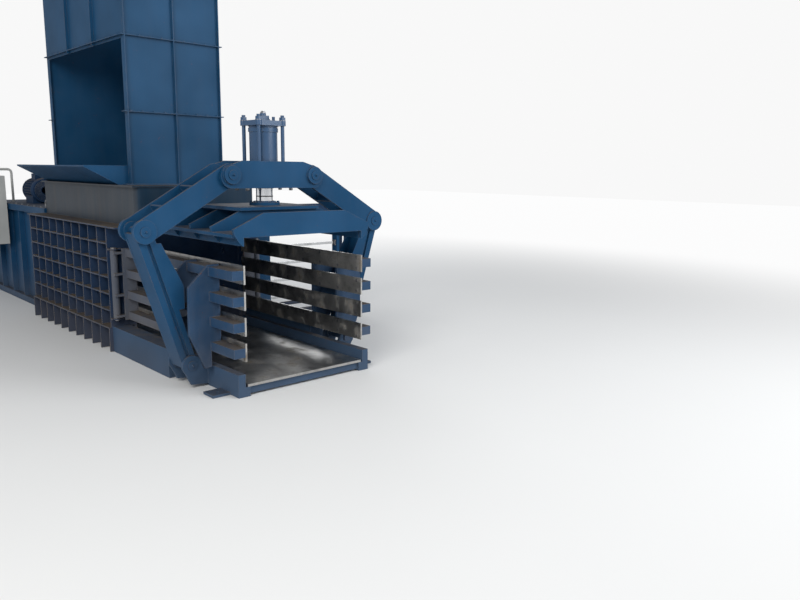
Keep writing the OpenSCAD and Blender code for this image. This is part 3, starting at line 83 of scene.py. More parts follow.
class Value:
    """A shader socket that can be used in a Python expression."""

    def __init__(self, graph: "Graph", socket: Any) -> None:
        """Keep the socket and the graph it belongs to."""
        self.graph = graph
        self.socket = socket

    def _math(self, operation: str, *others: Any, clamp: bool = False) -> "Value":
        """Add a Math node with this value first."""
        values = {i: v for i, v in enumerate((self, *others))}
        return self.graph.node("ShaderNodeMath", {"operation": operation, "use_clamp": clamp}, values)

    def __add__(self, other: Any) -> "Value":
        """Add."""
        return self._math("ADD", other)

    __radd__ = __add__

    def __sub__(self, other: Any) -> "Value":
        """Subtract."""
        return self._math("SUBTRACT", other)

    def __rsub__(self, other: Any) -> "Value":
        """Subtract this value from another."""
        return self.graph.node("ShaderNodeMath", {"operation": "SUBTRACT"}, {0: other, 1: self})

    def __mul__(self, other: Any) -> "Value":
        """Multiply."""
        return self._math("MULTIPLY", other)

    def clamp(self) -> "Value":
        """Keep the value between 0 and 1."""
        return self._math("ADD", 0.0, clamp=True)

    def over(self, low: float, high: float) -> "Value":
        """Rise smoothly from 0 at low to 1 at high.

        Args:
            low: Where the rise starts.
            high: Where it ends; below low for a fall.

        Returns:
            The mask.
        """
        inputs = {"Value": self, 1: min(low, high), 2: max(low, high)}
        mask = self.graph.node("ShaderNodeMapRange", {"interpolation_type": "SMOOTHSTEP"}, inputs)
        return mask if low <= high else 1.0 - mask


class Graph:
    """The node graph of one material.

    Attributes:
        EDGE_TURN: Turn of the rounded normal, as 1 less its cosine, where an edge mark starts and is full.
    """

    EDGE_TURN = (0.004, 0.12)

    def __init__(self, name: str) -> None:
        """Start an empty material."""
        self.material = bpy.data.materials.new(name)
        self.material.use_nodes = True
        self.tree = self.material.node_tree
        self.tree.nodes.clear()
        coords = self.tree.nodes.new("ShaderNodeTexCoord")
        self.place = Value(self, coords.outputs["Object"])
        self.facing = Value(self, coords.outputs["Normal"])

    def node(self, kind: str, settings: dict, inputs: dict, output: Union[int, str] = 0) -> Value:
        """Add one node.

        Args:
            kind: The node's type.
            settings: Its properties.
            inputs: Values or links of its sockets, by name or number.
            output: The output to return.

        Returns:
            That output.
        """
        made = self.tree.nodes.new(kind)
        for key, setting in settings.items():
            setattr(made, key, setting)
        for key, value in inputs.items():
            socket = made.inputs[key]
            if isinstance(value, Value):
                self.tree.links.new(value.socket, socket)
            elif isinstance(value, tuple) and len(value) == 3 and socket.type == "RGBA":
                socket.default_value = (*value, 1.0)
            else:
                socket.default_value = value
        return Value(self, made.outputs[output])

    def axis(self, vector: Value, index: int) -> Value:
        """Take one component, 0 to 2, of a vector."""
        return self.node("ShaderNodeSeparateXYZ", {}, {0: vector}, index)

    def stretched(self, x: float, y: float, z: float) -> Value:
        """Scale the object's coordinates along each axis."""
        return self.node("ShaderNodeMapping", {}, {"Vector": self.place, "Scale": (x, y, z)})

    def noise(self, scale: float, detail: float = 3.0, where: Optional[Value] = None) -> Value:
        """Add a noise pattern, about 0.5 on average.

        Args:
            scale: Its grains per metre.
            detail: How many finer layers it has.
            where: Its coordinates, the object's own unless given.

        Returns:
            The pattern.
        """
        inputs = {"Vector": where or self.place, "Scale": scale, "Detail": detail, "Roughness": 0.6}
        return self.node("ShaderNodeTexNoise", {}, inputs)

    def blend(self, factor: Any, first: Any, second: Any) -> Value:
        """Mix two colours.

        Args:
            factor: 0 for the first colour, 1 for the second.
            first, second: Colours or links.

        Returns:
            The mixed colour.
        """
        inputs = {0: factor, 6: first, 7: second}
        return self.node("ShaderNodeMix", {"data_type": "RGBA"}, inputs, 2)

    def edges(self, radius: float) -> Value:
        """Mark convex and concave edges, from the angle between a rounded and a plain normal.

        Args:
            radius: How far from an edge the mark reaches.

        Returns:
            0 on a flat face, rising towards an edge.
        """
        rounded = self.node("ShaderNodeBevel", {"samples": 4}, {"Radius": radius})
        plain = self.node("ShaderNodeNewGeometry", {}, {}, "Normal")
        dot = self.node("ShaderNodeVectorMath", {"operation": "DOT_PRODUCT"}, {0: rounded, 1: plain}, "Value")
        return (1.0 - dot).over(*self.EDGE_TURN)

    def bump(self, height: Value, strength: float, distance: float) -> Value:
        """Turn a height pattern into a normal.

        Args:
            height: The pattern.
            strength: Share of the effect, 0 to 1.
            distance: Height of the pattern in metres.

        Returns:
            The normal.
        """
        inputs = {"Strength": strength, "Distance": distance, "Height": height}
        return self.node("ShaderNodeBump", {}, inputs)

    def finish(self, inputs: dict) -> bpy.types.Material:
        """Close the graph with a Principled shader.

        Args:
            inputs: The shader's values and links.

        Returns:
            The material.
        """
        shader = self.node("ShaderNodeBsdfPrincipled", {}, inputs)
        made = self.tree.nodes.new("ShaderNodeOutputMaterial")
        self.tree.links.new(shader.socket, made.inputs["Surface"])
        return self.material


# Pale dust colour, also used for the painted sheen that the paint's film carries on faces that look to -Y and
# on the walls' rear part.
DUST_AND_SHEEN = linear(142, 128, 106)
DARK_DUST = linear(96, 84, 68)
SETTLED_LOW = linear(60, 53, 46)
SETTLED_HIGH = linear(104, 93, 79)
RUST = linear(112, 58, 34)
OIL = linear(22, 22, 24)
OILY_DIRT = linear(58, 50, 40)
DARKNESS = (0.0, 0.0, 0.0)
FAR_WHITE = (0.94, 0.94, 0.94)


def shade(colour: Colour, factor: float) -> Colour:
    """Make a colour lighter or darker, up to white."""
    return tuple(min(1.0, c * factor) for c in colour)


@dataclass(frozen=True)
class Coating:
    """What every finish has: a name, the record's slot, a colour and a way to build its material."""

    name: str
    slot: str
    colour: Colour

    def make(self) -> bpy.types.Material:
        """Build the material.

        Returns:
            The material.
        """
        graph = Graph(self.name)
        return graph.finish(self.inputs(graph))

    def inputs(self, g: Graph) -> dict:
        """Lay out the patterns in a graph.

        Args:
            g: The material's graph.

        Returns:
            The shader's values and links.
        """
        raise NotImplementedError

    def tones(self, g: Graph, factor: Value, dark: float, light: float) -> Value:
        """Vary the colour between a darker and a lighter shade of it."""
        return g.blend(factor, shade(self.colour, dark), shade(self.colour, light))


@dataclass(frozen=True)
class Paint(Coating):
    """Sprayed machine paint with dust on level faces, worn edges, grime and painted sheen on faces that look
    to -Y.

    Attributes:
        GRIME_TOP: Height up to which grime clings above the floor.
        VEIL: Places along X where the veil of dust and painted sheen starts and is full.
        SHEEN_FACING: The normal's share along Y where the painted sheen on faces that look to -Y starts and
            is full.
        dust, film: Dust on level faces, and thin dirt on upright ones.
        wear, rust: Bareness of edges, and number of rusty specks.
        streaks: How much the thin dirt runs downwards.
        dust_and_sheen_veil, side_sheen: Dust and painted sheen towards the machine's middle, and painted
            sheen in streaks on faces that look to -Y.
    """

    GRIME_TOP = 0.55
    VEIL = (2.75, 2.15)
    SHEEN_FACING = (-0.5, -0.9)
    dust: float = 0.75
    film: float = 0.10
    wear: float = 0.55
    rust: float = 0.10
    roughness: float = 0.42
    streaks: float = 0.25
    shine: float = 0.12
    dust_and_sheen_veil: float = 0.0
    side_sheen: float = 0.0

    def inputs(self, g: Graph) -> dict:
        """Lay thin dirt together with painted sheen, then worn edges, rust and settled dust over the paint,
        in that order.
        """
        broad = g.noise(1.7, 2.0)
        patch = g.noise(9.0, 4.0)
        fine = g.noise(70.0, 3.0)
        run = g.noise(1.0, 3.0, g.stretched(16.0, 16.0, 0.9))
        edge = g.edges(0.006)
        level = g.axis(g.facing, 2).over(0.55, 0.95)
        low = g.axis(g.place, 2).over(self.GRIME_TOP, 0.0)
        # Dust and painted sheen: the wall's rear part, towards the machine's middle, gets paler.
        dust_and_sheen_veil = g.axis(g.place, 0).over(*self.VEIL) * self.dust_and_sheen_veil
        # Painted sheen: faces that look to -Y get paler, in long downward streaks.
        side_sheen = g.axis(g.facing, 1).over(*self.SHEEN_FACING) * (run * 0.9 + 0.55) * self.side_sheen
        film = (broad * 0.5 + run * self.streaks + patch * 0.25 - 0.30) * self.film * 3.0
        # From here the film holds the thin dirt plus painted sheen: the veil's pale dust and sheen, and the
        # streaks on faces that look to -Y.
        film = (film + low * 0.16 + dust_and_sheen_veil + side_sheen).clamp()
        worn = (edge * (patch * 1.6 + fine - 0.95).clamp() * self.wear).clamp()
        specks = patch.over(0.60, 0.68) * fine.over(0.60, 0.66)
        chip = (specks + edge * fine.over(0.62, 0.7) * 0.8).clamp() * self.rust * 3.0
        settled = (level * (self.dust + (patch - 0.5) * 0.7 + (fine - 0.5) * 0.5)).clamp()
        tone = self.tones(g, broad.over(0.3, 0.75), 0.86, 1.12)
        # Thin dirt and painted sheen, both in the pale dust colour, on faces that are not level.
        tone = g.blend(film * (1.0 - level), tone, DUST_AND_SHEEN)
        tone = g.blend(worn, tone, DUST_AND_SHEEN)
        tone = g.blend(chip.clamp(), tone, RUST)
        tone = g.blend(settled, tone, g.blend(patch, SETTLED_LOW, SETTLED_HIGH))
        rough = (self.roughness + patch * 0.10 + film * 0.25 + settled * 0.42).clamp()
        height = fine * 0.4 + g.noise(260.0, 1.0) * 0.2 + settled * patch * 1.4
        return {"Base Color": tone, "Roughness": rough, "Specular IOR Level": self.shine,
                "Normal": g.bump(height, 0.35, 0.0012)}


@dataclass(frozen=True)
class Steel(Coating):
    """Bare steel: polished along one direction, with brown residue and dark oil."""

    roughness: float = 0.34
    residue: float = 0.3
    oil: float = 0.15
    along: tuple[float, float, float] = (1.2, 40.0, 40.0)

    def inputs(self, g: Graph) -> dict:
        """Lay residue and oil over the polished metal and brighten its edges."""
        scratch = g.noise(6.0, 4.0, g.stretched(*self.along))
        patch = g.noise(6.0, 4.0)
        fine = g.noise(90.0, 2.0)
        stained = (patch.over(0.50, 0.72) * self.residue * 2.2).clamp()
        oily = ((1.0 - patch).over(0.52, 0.7) * self.oil * 2.2).clamp()
        tone = self.tones(g, scratch, 0.72, 1.2)
        tone = g.blend(stained, tone, DARK_DUST)
        tone = g.blend(oily, tone, OIL)
        tone = g.blend(g.edges(0.003) * 0.35, tone, shade(self.colour, 1.35))
        rough = (self.roughness + (scratch - 0.5) * 0.25 + stained * 0.35 - oily * 0.08).clamp()
        metal = (1.0 - stained * 0.8).clamp()
        return {"Base Color": tone, "Roughness": rough, "Metallic": metal,
                "Normal": g.bump(scratch * 0.6 + fine * 0.25, 0.25, 0.0008)}


@dataclass(frozen=True)
class Chrome(Coating):
    """Hard chrome on a piston rod, with an oil film that runs in streaks."""

    def inputs(self, g: Graph) -> dict:
        """Lay the streaks of oily dirt over the chrome."""
        streak = g.noise(3.0, 3.0, g.stretched(30.0, 30.0, 1.5))
        haze = g.noise(14.0, 3.0)
        film = streak.over(0.42, 0.60)
        return {"Base Color": g.blend(film * 0.85, self.colour, OILY_DIRT), "Metallic": 1.0,
                "Roughness": (0.10 + haze * 0.10 + film * 0.22).clamp(),
                "Normal": g.bump(haze, 0.08, 0.0004)}


@dataclass(frozen=True)
class Casting(Coating):
    """Rough painted or bare casting."""

    grain: float = 120.0

    def inputs(self, g: Graph) -> dict:
        """Lay dust over the cast skin."""
        sand = g.noise(self.grain, 3.0)
        patch = g.noise(12.0, 3.0)
        level = g.axis(g.facing, 2).over(0.5, 0.95)
        tone = self.tones(g, patch, 0.75, 1.2)
        return {"Base Color": g.blend((level * (patch + 0.15)).clamp(), tone, DUST_AND_SHEEN),
                "Roughness": (0.5 + patch * 0.2 + level * 0.2).clamp(),
                "Normal": g.bump(sand, 0.5, 0.0012)}


@dataclass(frozen=True)
class Plastic(Coating):
    """Moulded plastic or rubber with handling marks."""

    roughness: float = 0.28

    def inputs(self, g: Graph) -> dict:
        """Lay handling marks over the plastic."""
        patch = g.noise(30.0, 3.0)
        fine = g.noise(400.0, 2.0)
        return {"Base Color": g.blend(patch.over(0.45, 0.8) * 0.25, self.colour, DUST_AND_SHEEN),
                "Roughness": (self.roughness + patch * 0.15).clamp(),
                "Normal": g.bump(fine, 0.15, 0.0003)}


@dataclass(frozen=True)
class StageWhite(Coating):
    """The pale floor, which fades to plain glowing white in the distance.

    Attributes:
        FADE: Distances from the machine where the fading starts and is complete.
    """

    FADE = (4.5, 12.0)

    def inputs(self, g: Graph) -> dict:
        """Fade the floor's colour to a glow."""
        patch = g.noise(0.6, 2.0)
        reach = g.node("ShaderNodeVectorMath", {"operation": "LENGTH"}, {0: g.place}, "Value")
        far = reach.over(*self.FADE)
        tone = g.blend(far, self.tones(g, patch, 1.0, 0.97), DARKNESS)
        glow = g.blend(far, DARKNESS, FAR_WHITE)
        return {"Base Color": tone, "Roughness": 0.85, "Emission Color": glow, "Emission Strength": 1.0}


class Finish(Enum):
    """Every finish on the machine."""

    BLUE = Paint("machine_blue", "blue_paint", linear(12, 66, 103), dust=0.60, film=0.04)
    # The wall's rear part gets a veil of dust and painted sheen.
    WALL_BLUE = Paint("side_wall_blue", "blue_paint", linear(20, 64, 100), dust=0.80, film=0.16, wear=0.7,
                      rust=0.30, dust_and_sheen_veil=0.24)
    CRATE_BLUE = Paint("stiffener_blue", "blue_paint", linear(16, 50, 84), dust=0.85, film=0.10, wear=1.9)
    HOPPER_BLUE = Paint("hopper_blue", "blue_paint", linear(16, 66, 101), dust=0.55, film=0.04,
                        roughness=0.38)
    # The throat's faces that look to -Y get painted sheen in streaks.
    THROAT_BLUE = Paint("throat_blue", "deep_blue_paint", linear(12, 47, 70), dust=0.62, film=0.05,
                        streaks=0.5, roughness=0.36, side_sheen=0.12)
    DEEP_BLUE = Paint("unit_blue", "deep_blue_paint", linear(14, 48, 80), dust=0.6, film=0.05)
    OILY_BLUE = Paint("cylinder_blue", "blue_paint", linear(34, 72, 108), dust=0.3, film=0.08,
                      roughness=0.24, shine=0.5)
    GREY = Paint("cabinet_grey", "grey_paint", linear(188, 190, 188), dust=0.5, film=0.10, wear=0.2,
                 rust=0.03)
    WORN_STEEL = Steel("sliding_steel", "worn_steel", (0.52, 0.51, 0.49), residue=0.38)
    BRIGHT_STEEL = Steel("turned_steel", "worn_steel", (0.58, 0.59, 0.60), roughness=0.24, residue=0.08)
    DARK_STEEL = Steel("oily_steel", "dark_steel", (0.30, 0.30, 0.31), roughness=0.42, residue=0.25, oil=0.30)
    CHROME = Chrome("rod_chrome", "rod_chrome", (0.56, 0.57, 0.59))
    CASTING = Casting("grey_casting", "grey_casting", linear(92, 96, 98))
    RED = Plastic("stop_red", "red_plastic", linear(180, 26, 22))
    GREEN = Plastic("start_green", "green_plastic", linear(26, 116, 58))
    BLACK = Plastic("switch_black", "black_plastic", linear(26, 26, 27), 0.45)

    @property
    def slot(self) -> str:
        """Name of the record's material slot."""
        return self.value.slot

    def material(self) -> bpy.types.Material:
        """Give the material, made on first use."""
        return bpy.data.materials.get(self.value.name) or self.value.make()


OTHER_FINISH = {
    Finish.WALL_BLUE: "right_side_wall left_side_wall",
    Finish.CRATE_BLUE: "right_chamber_wall right_needle_bay left_chamber_wall",
    Finish.HOPPER_BLUE: "hopper",
    Finish.THROAT_BLUE: "throat_box",
    Finish.DEEP_BLUE: "cylinder_mount oil_tank pump_motor tier_frame needle_drive ram",
    Finish.OILY_BLUE: "clamp_barrel clamp_cap clamp_tie_rods main_barrel",
    Finish.GREY: "control_cabinet cabinet_door",
    Finish.WORN_STEEL: "floor_liner right_wear_strips left_wear_strips main_pipes",
    Finish.BRIGHT_STEEL: "main_gland clamp_piston main_piston needles",
    Finish.DARK_STEEL: "fixed_knife hopper_bolts hinge_pins right_pusher left_pusher ram_knife door_handle",
    Finish.CASTING: "pump valve_block",
    Finish.CHROME: "clamp_rod main_rod",
    Finish.RED: "stop_button",
    Finish.GREEN: "start_button",
    Finish.BLACK: "main_switch tank_cap",
}


def dress_nodes(nodes: dict[str, bpy.types.Object]) -> None:
    """Give every CAD node its procedural material, the machine's blue unless listed otherwise.

    Args:
        nodes: The loaded frame's objects by name.
    """
    listed = {name: finish for finish, names in OTHER_FINISH.items() for name in names.split()}
    for name, obj in nodes.items():
        obj.data.materials.clear()
        obj.data.materials.append(listed.get(name, Finish.BLUE).material())
    LOG.info("dressed %d nodes", len(nodes))


def link(name: str, data: Any) -> bpy.types.Object:
    """Make an object for some data and put it into the scene."""
    obj = bpy.data.objects.new(name, data)
    bpy.context.scene.collection.objects.link(obj)
    return obj


# Surfaces

SMOOTH_ANGLE = 35.0
LEAST_RADIUS = 1e-5
WELD_STEP = 0.02
WELD_SIDES = 6


class Surface:
    """Vertices and faces of one mesh, collected from several parts."""

    def __init__(self) -> None:
        """Start empty."""
        self.points: list[Array] = []
        self.faces: list[tuple[int, ...]] = []
        self.count = 0

    def add(self, points: Array, faces: Sequence[Sequence[int]]) -> None:
        """Add a part.

        Args:
            points: Its vertices, N by 3.
            faces: Its faces as vertex numbers.
        """
        self.points.append(points)
        self.faces += [tuple(int(n) + self.count for n in face) for face in faces]
        self.count += len(points)

    def piece(self, name: str, finish: Finish, body: str) -> None:
        """Make the Blender object, dressed and riding on a body.

        Args:
            name: The piece's name.
            finish: Its finish.
            body: The CAD body that it rides on.
        """
        mesh = bpy.data.meshes.new(name)
        mesh.from_pydata(np.concatenate(self.points).tolist(), [], self.faces)
        mesh.validate()
        obj = link(name, mesh)
        mesh.materials.append(finish.material())
        mesh.shade_smooth()
        mesh.set_sharp_from_angle(angle=math.radians(SMOOTH_ANGLE))
        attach(obj, body)
        finish.slot
        LOG.info("%s: %d faces on %s", name, len(mesh.polygons), body)


def tube_faces(rows: int, columns: int) -> Array:
    """Number the quads between rings of vertices.

    Args:
        rows: Number of rings.
        columns: Number of vertices in a ring.

    Returns:
        The quads, which face outwards if the rings go up and turn to the left.
    """
    i, j = np.meshgrid(np.arange(rows - 1) * columns, np.arange(columns), indexing="ij")
    k = (j + 1) % columns
    return np.stack([i + j, i + k, i + columns + k, i + columns + j], -1).reshape(-1, 4)


def frame_of(direction: Array) -> tuple[Array, Array, Array]:
    """Give three unit vectors at right angles, the last one along a direction."""
    w = np.asarray(direction, float) / np.linalg.norm(direction)
    helper = np.array([0.0, 0.0, 1.0]) if abs(w[2]) < 0.9 else np.array([1.0, 0.0, 0.0])
    u = np.cross(helper, w)
    u /= np.linalg.norm(u)
    return u, np.cross(w, u), w


def turned(surface: Surface, base: Point, axis: Point, profile: Profile, sides: int = 32) -> None:
    """Add a turned shape: each profile point (radius, height) goes round the axis in a circle.

    Args:
        surface: Where it is added.
        base: Point on the axis where the height is 0.
        axis: Direction of the axis.
        profile: Radii and heights from one end to the other; a closed shape starts and ends at radius 0.
        sides: Number of sides; 6 makes a hexagon.
    """
    u, v, w = frame_of(np.asarray(axis, float))
    angle = np.arange(sides) * TAU / sides
    ring = np.cos(angle)[:, None] * u + np.sin(angle)[:, None] * v
    rz = np.array([(max(r, LEAST_RADIUS), h) for r, h in profile])
    points = np.asarray(base, float) + rz[:, None, 0, None] * ring[None] + rz[:, None, 1, None] * w
    surface.add(points.reshape(-1, 3), tube_faces(len(rz), sides))


def piped(surface: Surface, path: Array, radius: Union[float, Array], sides: int = 12) -> None:
    """Add a round tube along a path: a circle square to the path's direction at each of its points.

    Args:
        surface: Where it is added.
        path: Points of the path, N by 3.
        radius: One radius, or one for each point.
        sides: Number of sides.
    """
    path = np.asarray(path, float)
    radii = np.broadcast_to(radius, (len(path),)).astype(float)
    direction = np.gradient(path, axis=0)
    direction /= np.linalg.norm(direction, axis=1)[:, None]
    u = frame_of(direction[0])[0]
    across = np.empty_like(path)
    for i, d in enumerate(direction):
        u = u - d * np.dot(u, d)
        u /= np.linalg.norm(u)
        across[i] = u
    beside = np.cross(direction, across)
    angle = np.arange(sides) * TAU / sides
    ring = across[:, None] * np.cos(angle)[None, :, None] + beside[:, None] * np.sin(angle)[None, :, None]
    points = path[:, None] + ring * radii[:, None, None]
    faces = tube_faces(len(path), sides).tolist()
    start = len(path) * sides
    last = start - sides
    for j in range(sides):
        k = (j + 1) % sides
        faces += [(start, k, j), (start + 1, last + j, last + k)]
    surface.add(np.concatenate([points.reshape(-1, 3), path[[0, -1]]]), faces)


def smooth_path(turns: Sequence[Point], bend: float, steps: int = 6) -> Array:
    """Round the corners of a line by quadratic curves.

    Args:
        turns: Its corner points.
        bend: Distance from a corner at which its curve starts.
        steps: Points along each curve.

    Returns:
        The path's points.
    """
    c = np.asarray(turns, float)
    out = [c[0]]
    t = np.linspace(0.0, 1.0, steps)[:, None]
    for before, corner, after in zip(c[:-2], c[1:-1], c[2:]):
        a = corner + (before - corner) / np.linalg.norm(before - corner) * bend
        b = corner + (after - corner) / np.linalg.norm(after - corner) * bend
        out.extend((1 - t) ** 2 * a + 2 * t * (1 - t) * corner + t ** 2 * b)
    out.append(c[-1])
    return np.array(out)


def flat_ring(inner: float, outer: float, height: float) -> Profile:
    """Give the profile of a flat ring without its inner wall, or of a disc if the inner radius is 0."""
    return [(inner, 0), (outer, 0), (outer, height), (inner, height)]


def weld(surface: Surface, start: Point, end: Point, size: float = 0.006) -> None:
    """Add a weld bead: a thin tube whose radius swells once for each ripple.

    Args:
        surface: Where it is added.
        start, end: Its ends.
        size: Radius of the bead.
    """
    a, b = np.asarray(start, float), np.asarray(end, float)
    length = float(np.linalg.norm(b - a))
    t = np.linspace(0.0, 1.0, max(4, int(length / WELD_STEP)))
    radius = size * (1.0 + 0.16 * np.sin(t * length / WELD_STEP * 2.3) + 0.08 * np.sin(t * length / 0.007))
    piped(surface, a + (b - a) * t[:, None], radius, WELD_SIDES)


def weld_ring(surface: Surface, centre: Point, axis: Point, radius: float, size: float) -> None:
    """Add a closed weld bead round a boss.

    Args:
        surface: Where it is added.
        centre: Centre of the ring.
        axis: Direction square to the ring.
        radius: Radius of the ring.
        size: Radius of the bead.
    """
    u, v, w = frame_of(np.asarray(axis, float))
    n = max(24, int(TAU * radius / 0.014))
    a = np.arange(n) * TAU / n
    swell = size * (1.0 + 0.14 * np.sin(a * radius / 0.009))
    out = np.cos(a)[:, None] * u + np.sin(a)[:, None] * v
    b = np.arange(WELD_SIDES) * TAU / WELD_SIDES
    ring = out[:, None] * (radius + swell[:, None] * np.cos(b)[None])[..., None]
    points = np.asarray(centre, float) + ring + w * (swell[:, None] * np.sin(b)[None])[..., None]
    i, j = np.meshgrid(np.arange(n), np.arange(WELD_SIDES), indexing="ij")
    p, q = (i + 1) % n * WELD_SIDES, (j + 1) % WELD_SIDES
    i = i * WELD_SIDES
    surface.add(points.reshape(-1, 3), np.stack([i + j, p + j, p + q, i + q], -1).reshape(-1, 4))


def hex_bolt(surface: Surface, base: Point, axis: Point, flats: float, height: float,
             washer: bool = True) -> None:
    """Add a hexagon bolt head with a chamfer, on a washer.

    Args:
        surface: Where it is added.
        base: Point on the face that the bolt is screwed into.
        axis: Direction away from that face.
        flats: Width across flats.
        height: Height of the head.
        washer: Whether there is a washer under the head.
    """
    r = flats / math.sqrt(3.0)
    z = 0.0
    if washer:
        z = flats * 0.12
        turned(surface, base, axis, flat_ring(0, r * 1.15, z), 20)
    shoulder, top = z + height * 0.82, z + height
    turned(surface, base, axis, [(0, z), (r, z), (r, shoulder), (r * 0.86, top), (0, top)], 6)


def block(surface: Surface, low: Point, high: Point, bevel: float = 0.002) -> None:
    """Add a box with chamfered edges: each corner becomes three points, one on each face.

    Args:
        surface: Where it is added.
        low, high: Its lowest and highest corners.
        bevel: Width of the chamfer.
    """
    ends = np.array([low, high], float)
    inner = np.stack([ends[0] + bevel, ends[1] - bevel])
    points = []
    for corner in np.ndindex(2, 2, 2):
        for axis in range(3):
            points.append([(ends if k == axis else inner)[corner[k], k] for k in range(3)])
    step = (12, 6, 3)
    faces = []
    for axis in range(3):
        a, b = (axis + 1) % 3, (axis + 2) % 3
        u, v, w = step[a], step[b], step[axis]
        for side in (0, 1):
            loop = [axis + side * w + n for n in (0, u, u + v, v)]
            faces.append(loop if side else loop[::-1])
        for i, j in np.ndindex(2, 2):
            n = i * u + j * v
            loop = [n + a, n + w + a, n + w + b, n + b]
            faces.append(loop[::-1] if i == j else loop)
    for number, corner in enumerate(np.ndindex(2, 2, 2)):
        loop = [3 * number + k for k in range(3)]
        faces.append(loop if sum(corner) % 2 else loop[::-1])
    surface.add(np.array(points), faces)


def corners(node: str) -> tuple[list[float], list[float]]:
    """Give a node's lowest and highest corners."""
    low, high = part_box(node)
    return [float(c) for c in low], [float(c) for c in high]


# Sub-assemblies

UP, DOWN, AHEAD, BACK = (0, 0, 1), (0, 0, -1), (1, 0, 0), (-1, 0, 0)
HANDS = (("right", -1), ("left", 1))
DECK_Z = 1.215
ROUND = 48
NIPPLE = [(0, 0), (0.010, 0), (0.010, 0.005), (0.005, 0.012), (0.004, 0.020), (0, 0.022)]


def nipple(surface: Surface, end: Point) -> None:
    """Add a grease nipple in the front end of a pin."""
    turned(surface, (end[0] - 0.002, end[1], end[2]), AHEAD, NIPPLE, 16)


@dataclass
class ClampHead:
    """Details of the crosshead, its cylinder and the ring that the rod passes through."""

    WIPER = [(0.003, 0), (0.008, 0), (0.014, 0.004), (0.014, 0.009), (0.003, 0.009)]
    SLEEVE = flat_ring(-0.001, 0.0007, 0.076)
    FOOT_RING = flat_ring(-0.001, 0.0012, 0.009)
    GUIDE = [(0.010, 0), (0.026, 0), (0.026, 0.010), (0.022, 0.014), (0.010, 0.014)]
    rod_r: float = 0.068
    barrel_r: float = 0.113
    boss_r: float = 0.071
    pin_y: float = 0.390
    pin_z: float = 1.640
    tie_half: float = 0.112
    cap_t: float = 0.040
    bolt_x: float = 0.080
    bolt_y: float = 0.207

    def build(self) -> None:
        """Make all the pieces."""
        low, high = corners("crosshead")
        self.x = (low[0] + high[0]) / 2
        self.half = high[0] - self.x
        self.floor_z = low[2] + 0.004
        guide = corners("top_plate")[1][2] - 0.014
        self._ring("clamp_wiper_ring", Finish.BLACK, "crosshead", self.floor_z - 0.009, self.WIPER)
        self._floor_bolts()
        self._pins()
        self._cap()
        self._barrel()
        self._ring("rod_foot_sleeve", Finish.CHROME, "clamp_rod", guide - 0.028, self.SLEEVE)
        self._ring("rod_foot_ring", Finish.BLACK, "clamp_rod", guide + 0.048, self.FOOT_RING)
        self._ring("rod_guide_ring", Finish.OILY_BLUE, "platen", guide, self.GUIDE)
        self._welds()

    def _ring(self, name: str, finish: Finish, body: str, foot: float, profile: Profile) -> None:
        """Make one ring round the rod, its radii measured from the rod's face."""
        s = Surface()
        turned(s, (self.x, 0, foot), UP, [(self.rod_r + r, h) for r, h in profile], ROUND)
        s.piece(name, finish, body)

    def _floor_bolts(self) -> None:
        """Make the bolt heads that show under the crosshead's floor."""
        s = Surface()
        for y in (-self.bolt_y, self.bolt_y):
            for x in (-self.bolt_x, self.bolt_x):
                hex_bolt(s, (self.x + x, y, self.floor_z), DOWN, 0.030, 0.022)
        s.piece("crosshead_floor_bolts", Finish.DARK_STEEL, "crosshead")

    def _pins(self) -> None:
        """Make the grease nipples and, behind, the keeper plates of the crosshead's pins."""
        s = Surface()
        front, back = self.x + self.half + 0.008, self.x - self.half - 0.010
        low, middle, high = self.pin_z - 0.068, self.pin_z - 0.0535, self.pin_z - 0.0385
        for y in (-self.pin_y, self.pin_y):
            nipple(s, (front, y, self.pin_z))
            block(s, (back, y - 0.050, low), (back + 0.0105, y + 0.050, high))
            for d in (-0.032, 0.032):
                hex_bolt(s, (back, y + d, middle), BACK, 0.017, 0.009)
        s.piece("crosshead_pin_fittings", Finish.BLUE, "crosshead")

    def _cap(self) -> None:
        """Make the cap's fitting and the washers under the nuts."""
        low, high = corners("clamp_cap")
        s = Surface()
        fitting = [(0.026, 0), (0.026, 0.010), (0.018, 0.014), (0.018, 0.020), (0, 0.020)]
        turned(s, (self.x - 0.005, 0.005, high[2] - 0.004), UP, fitting, 6)
        for x in (-self.tie_half, self.tie_half):
            for y in (-self.tie_half, self.tie_half):
                turned(s, (self.x + x, y, low[2] + self.cap_t), UP, flat_ring(0.0152, 0.026, 0.004), 24)
        s.piece("clamp_cap_fittings", Finish.DARK_STEEL, "crosshead")

    def _barrel(self) -> None:
        """Make the barrel's weld rings and its thicker collar under the cap."""
        s = Surface()
        r, top, foot = self.barrel_r, corners("clamp_cap")[0][2], corners("clamp_barrel")[0][2]
        weld_ring(s, (self.x, 0, top - 0.003), UP, r + 0.002, 0.006)
        weld_ring(s, (self.x, 0, foot + 0.004), UP, r + 0.004, 0.007)
        collar = [(r - 0.001, 0), (r + 0.007, 0.003), (r + 0.007, 0.035), (r - 0.001, 0.038)]
        turned(s, (self.x, 0, top - 0.052), UP, collar, ROUND)
        s.piece("clamp_barrel_welds", Finish.OILY_BLUE, "crosshead")

    def _welds(self) -> None:
        """Make the weld beads round the bosses and along the floor."""
        s = Surface()
        face, z = self.half - 0.022, self.floor_z + 0.036
        for y in (-self.pin_y, self.pin_y):
            for side in (-1, 1):
                centre = (self.x + side * (face + 0.001), y, self.pin_z)
                weld_ring(s, centre, AHEAD, self.boss_r + 0.001, 0.005)
        for side in (-1, 1):
            x = self.x + side * (face - 0.029)
            weld(s, (x, -0.24, z), (x, 0.24, z))
        s.piece("crosshead_welds", Finish.BLUE, "crosshead")


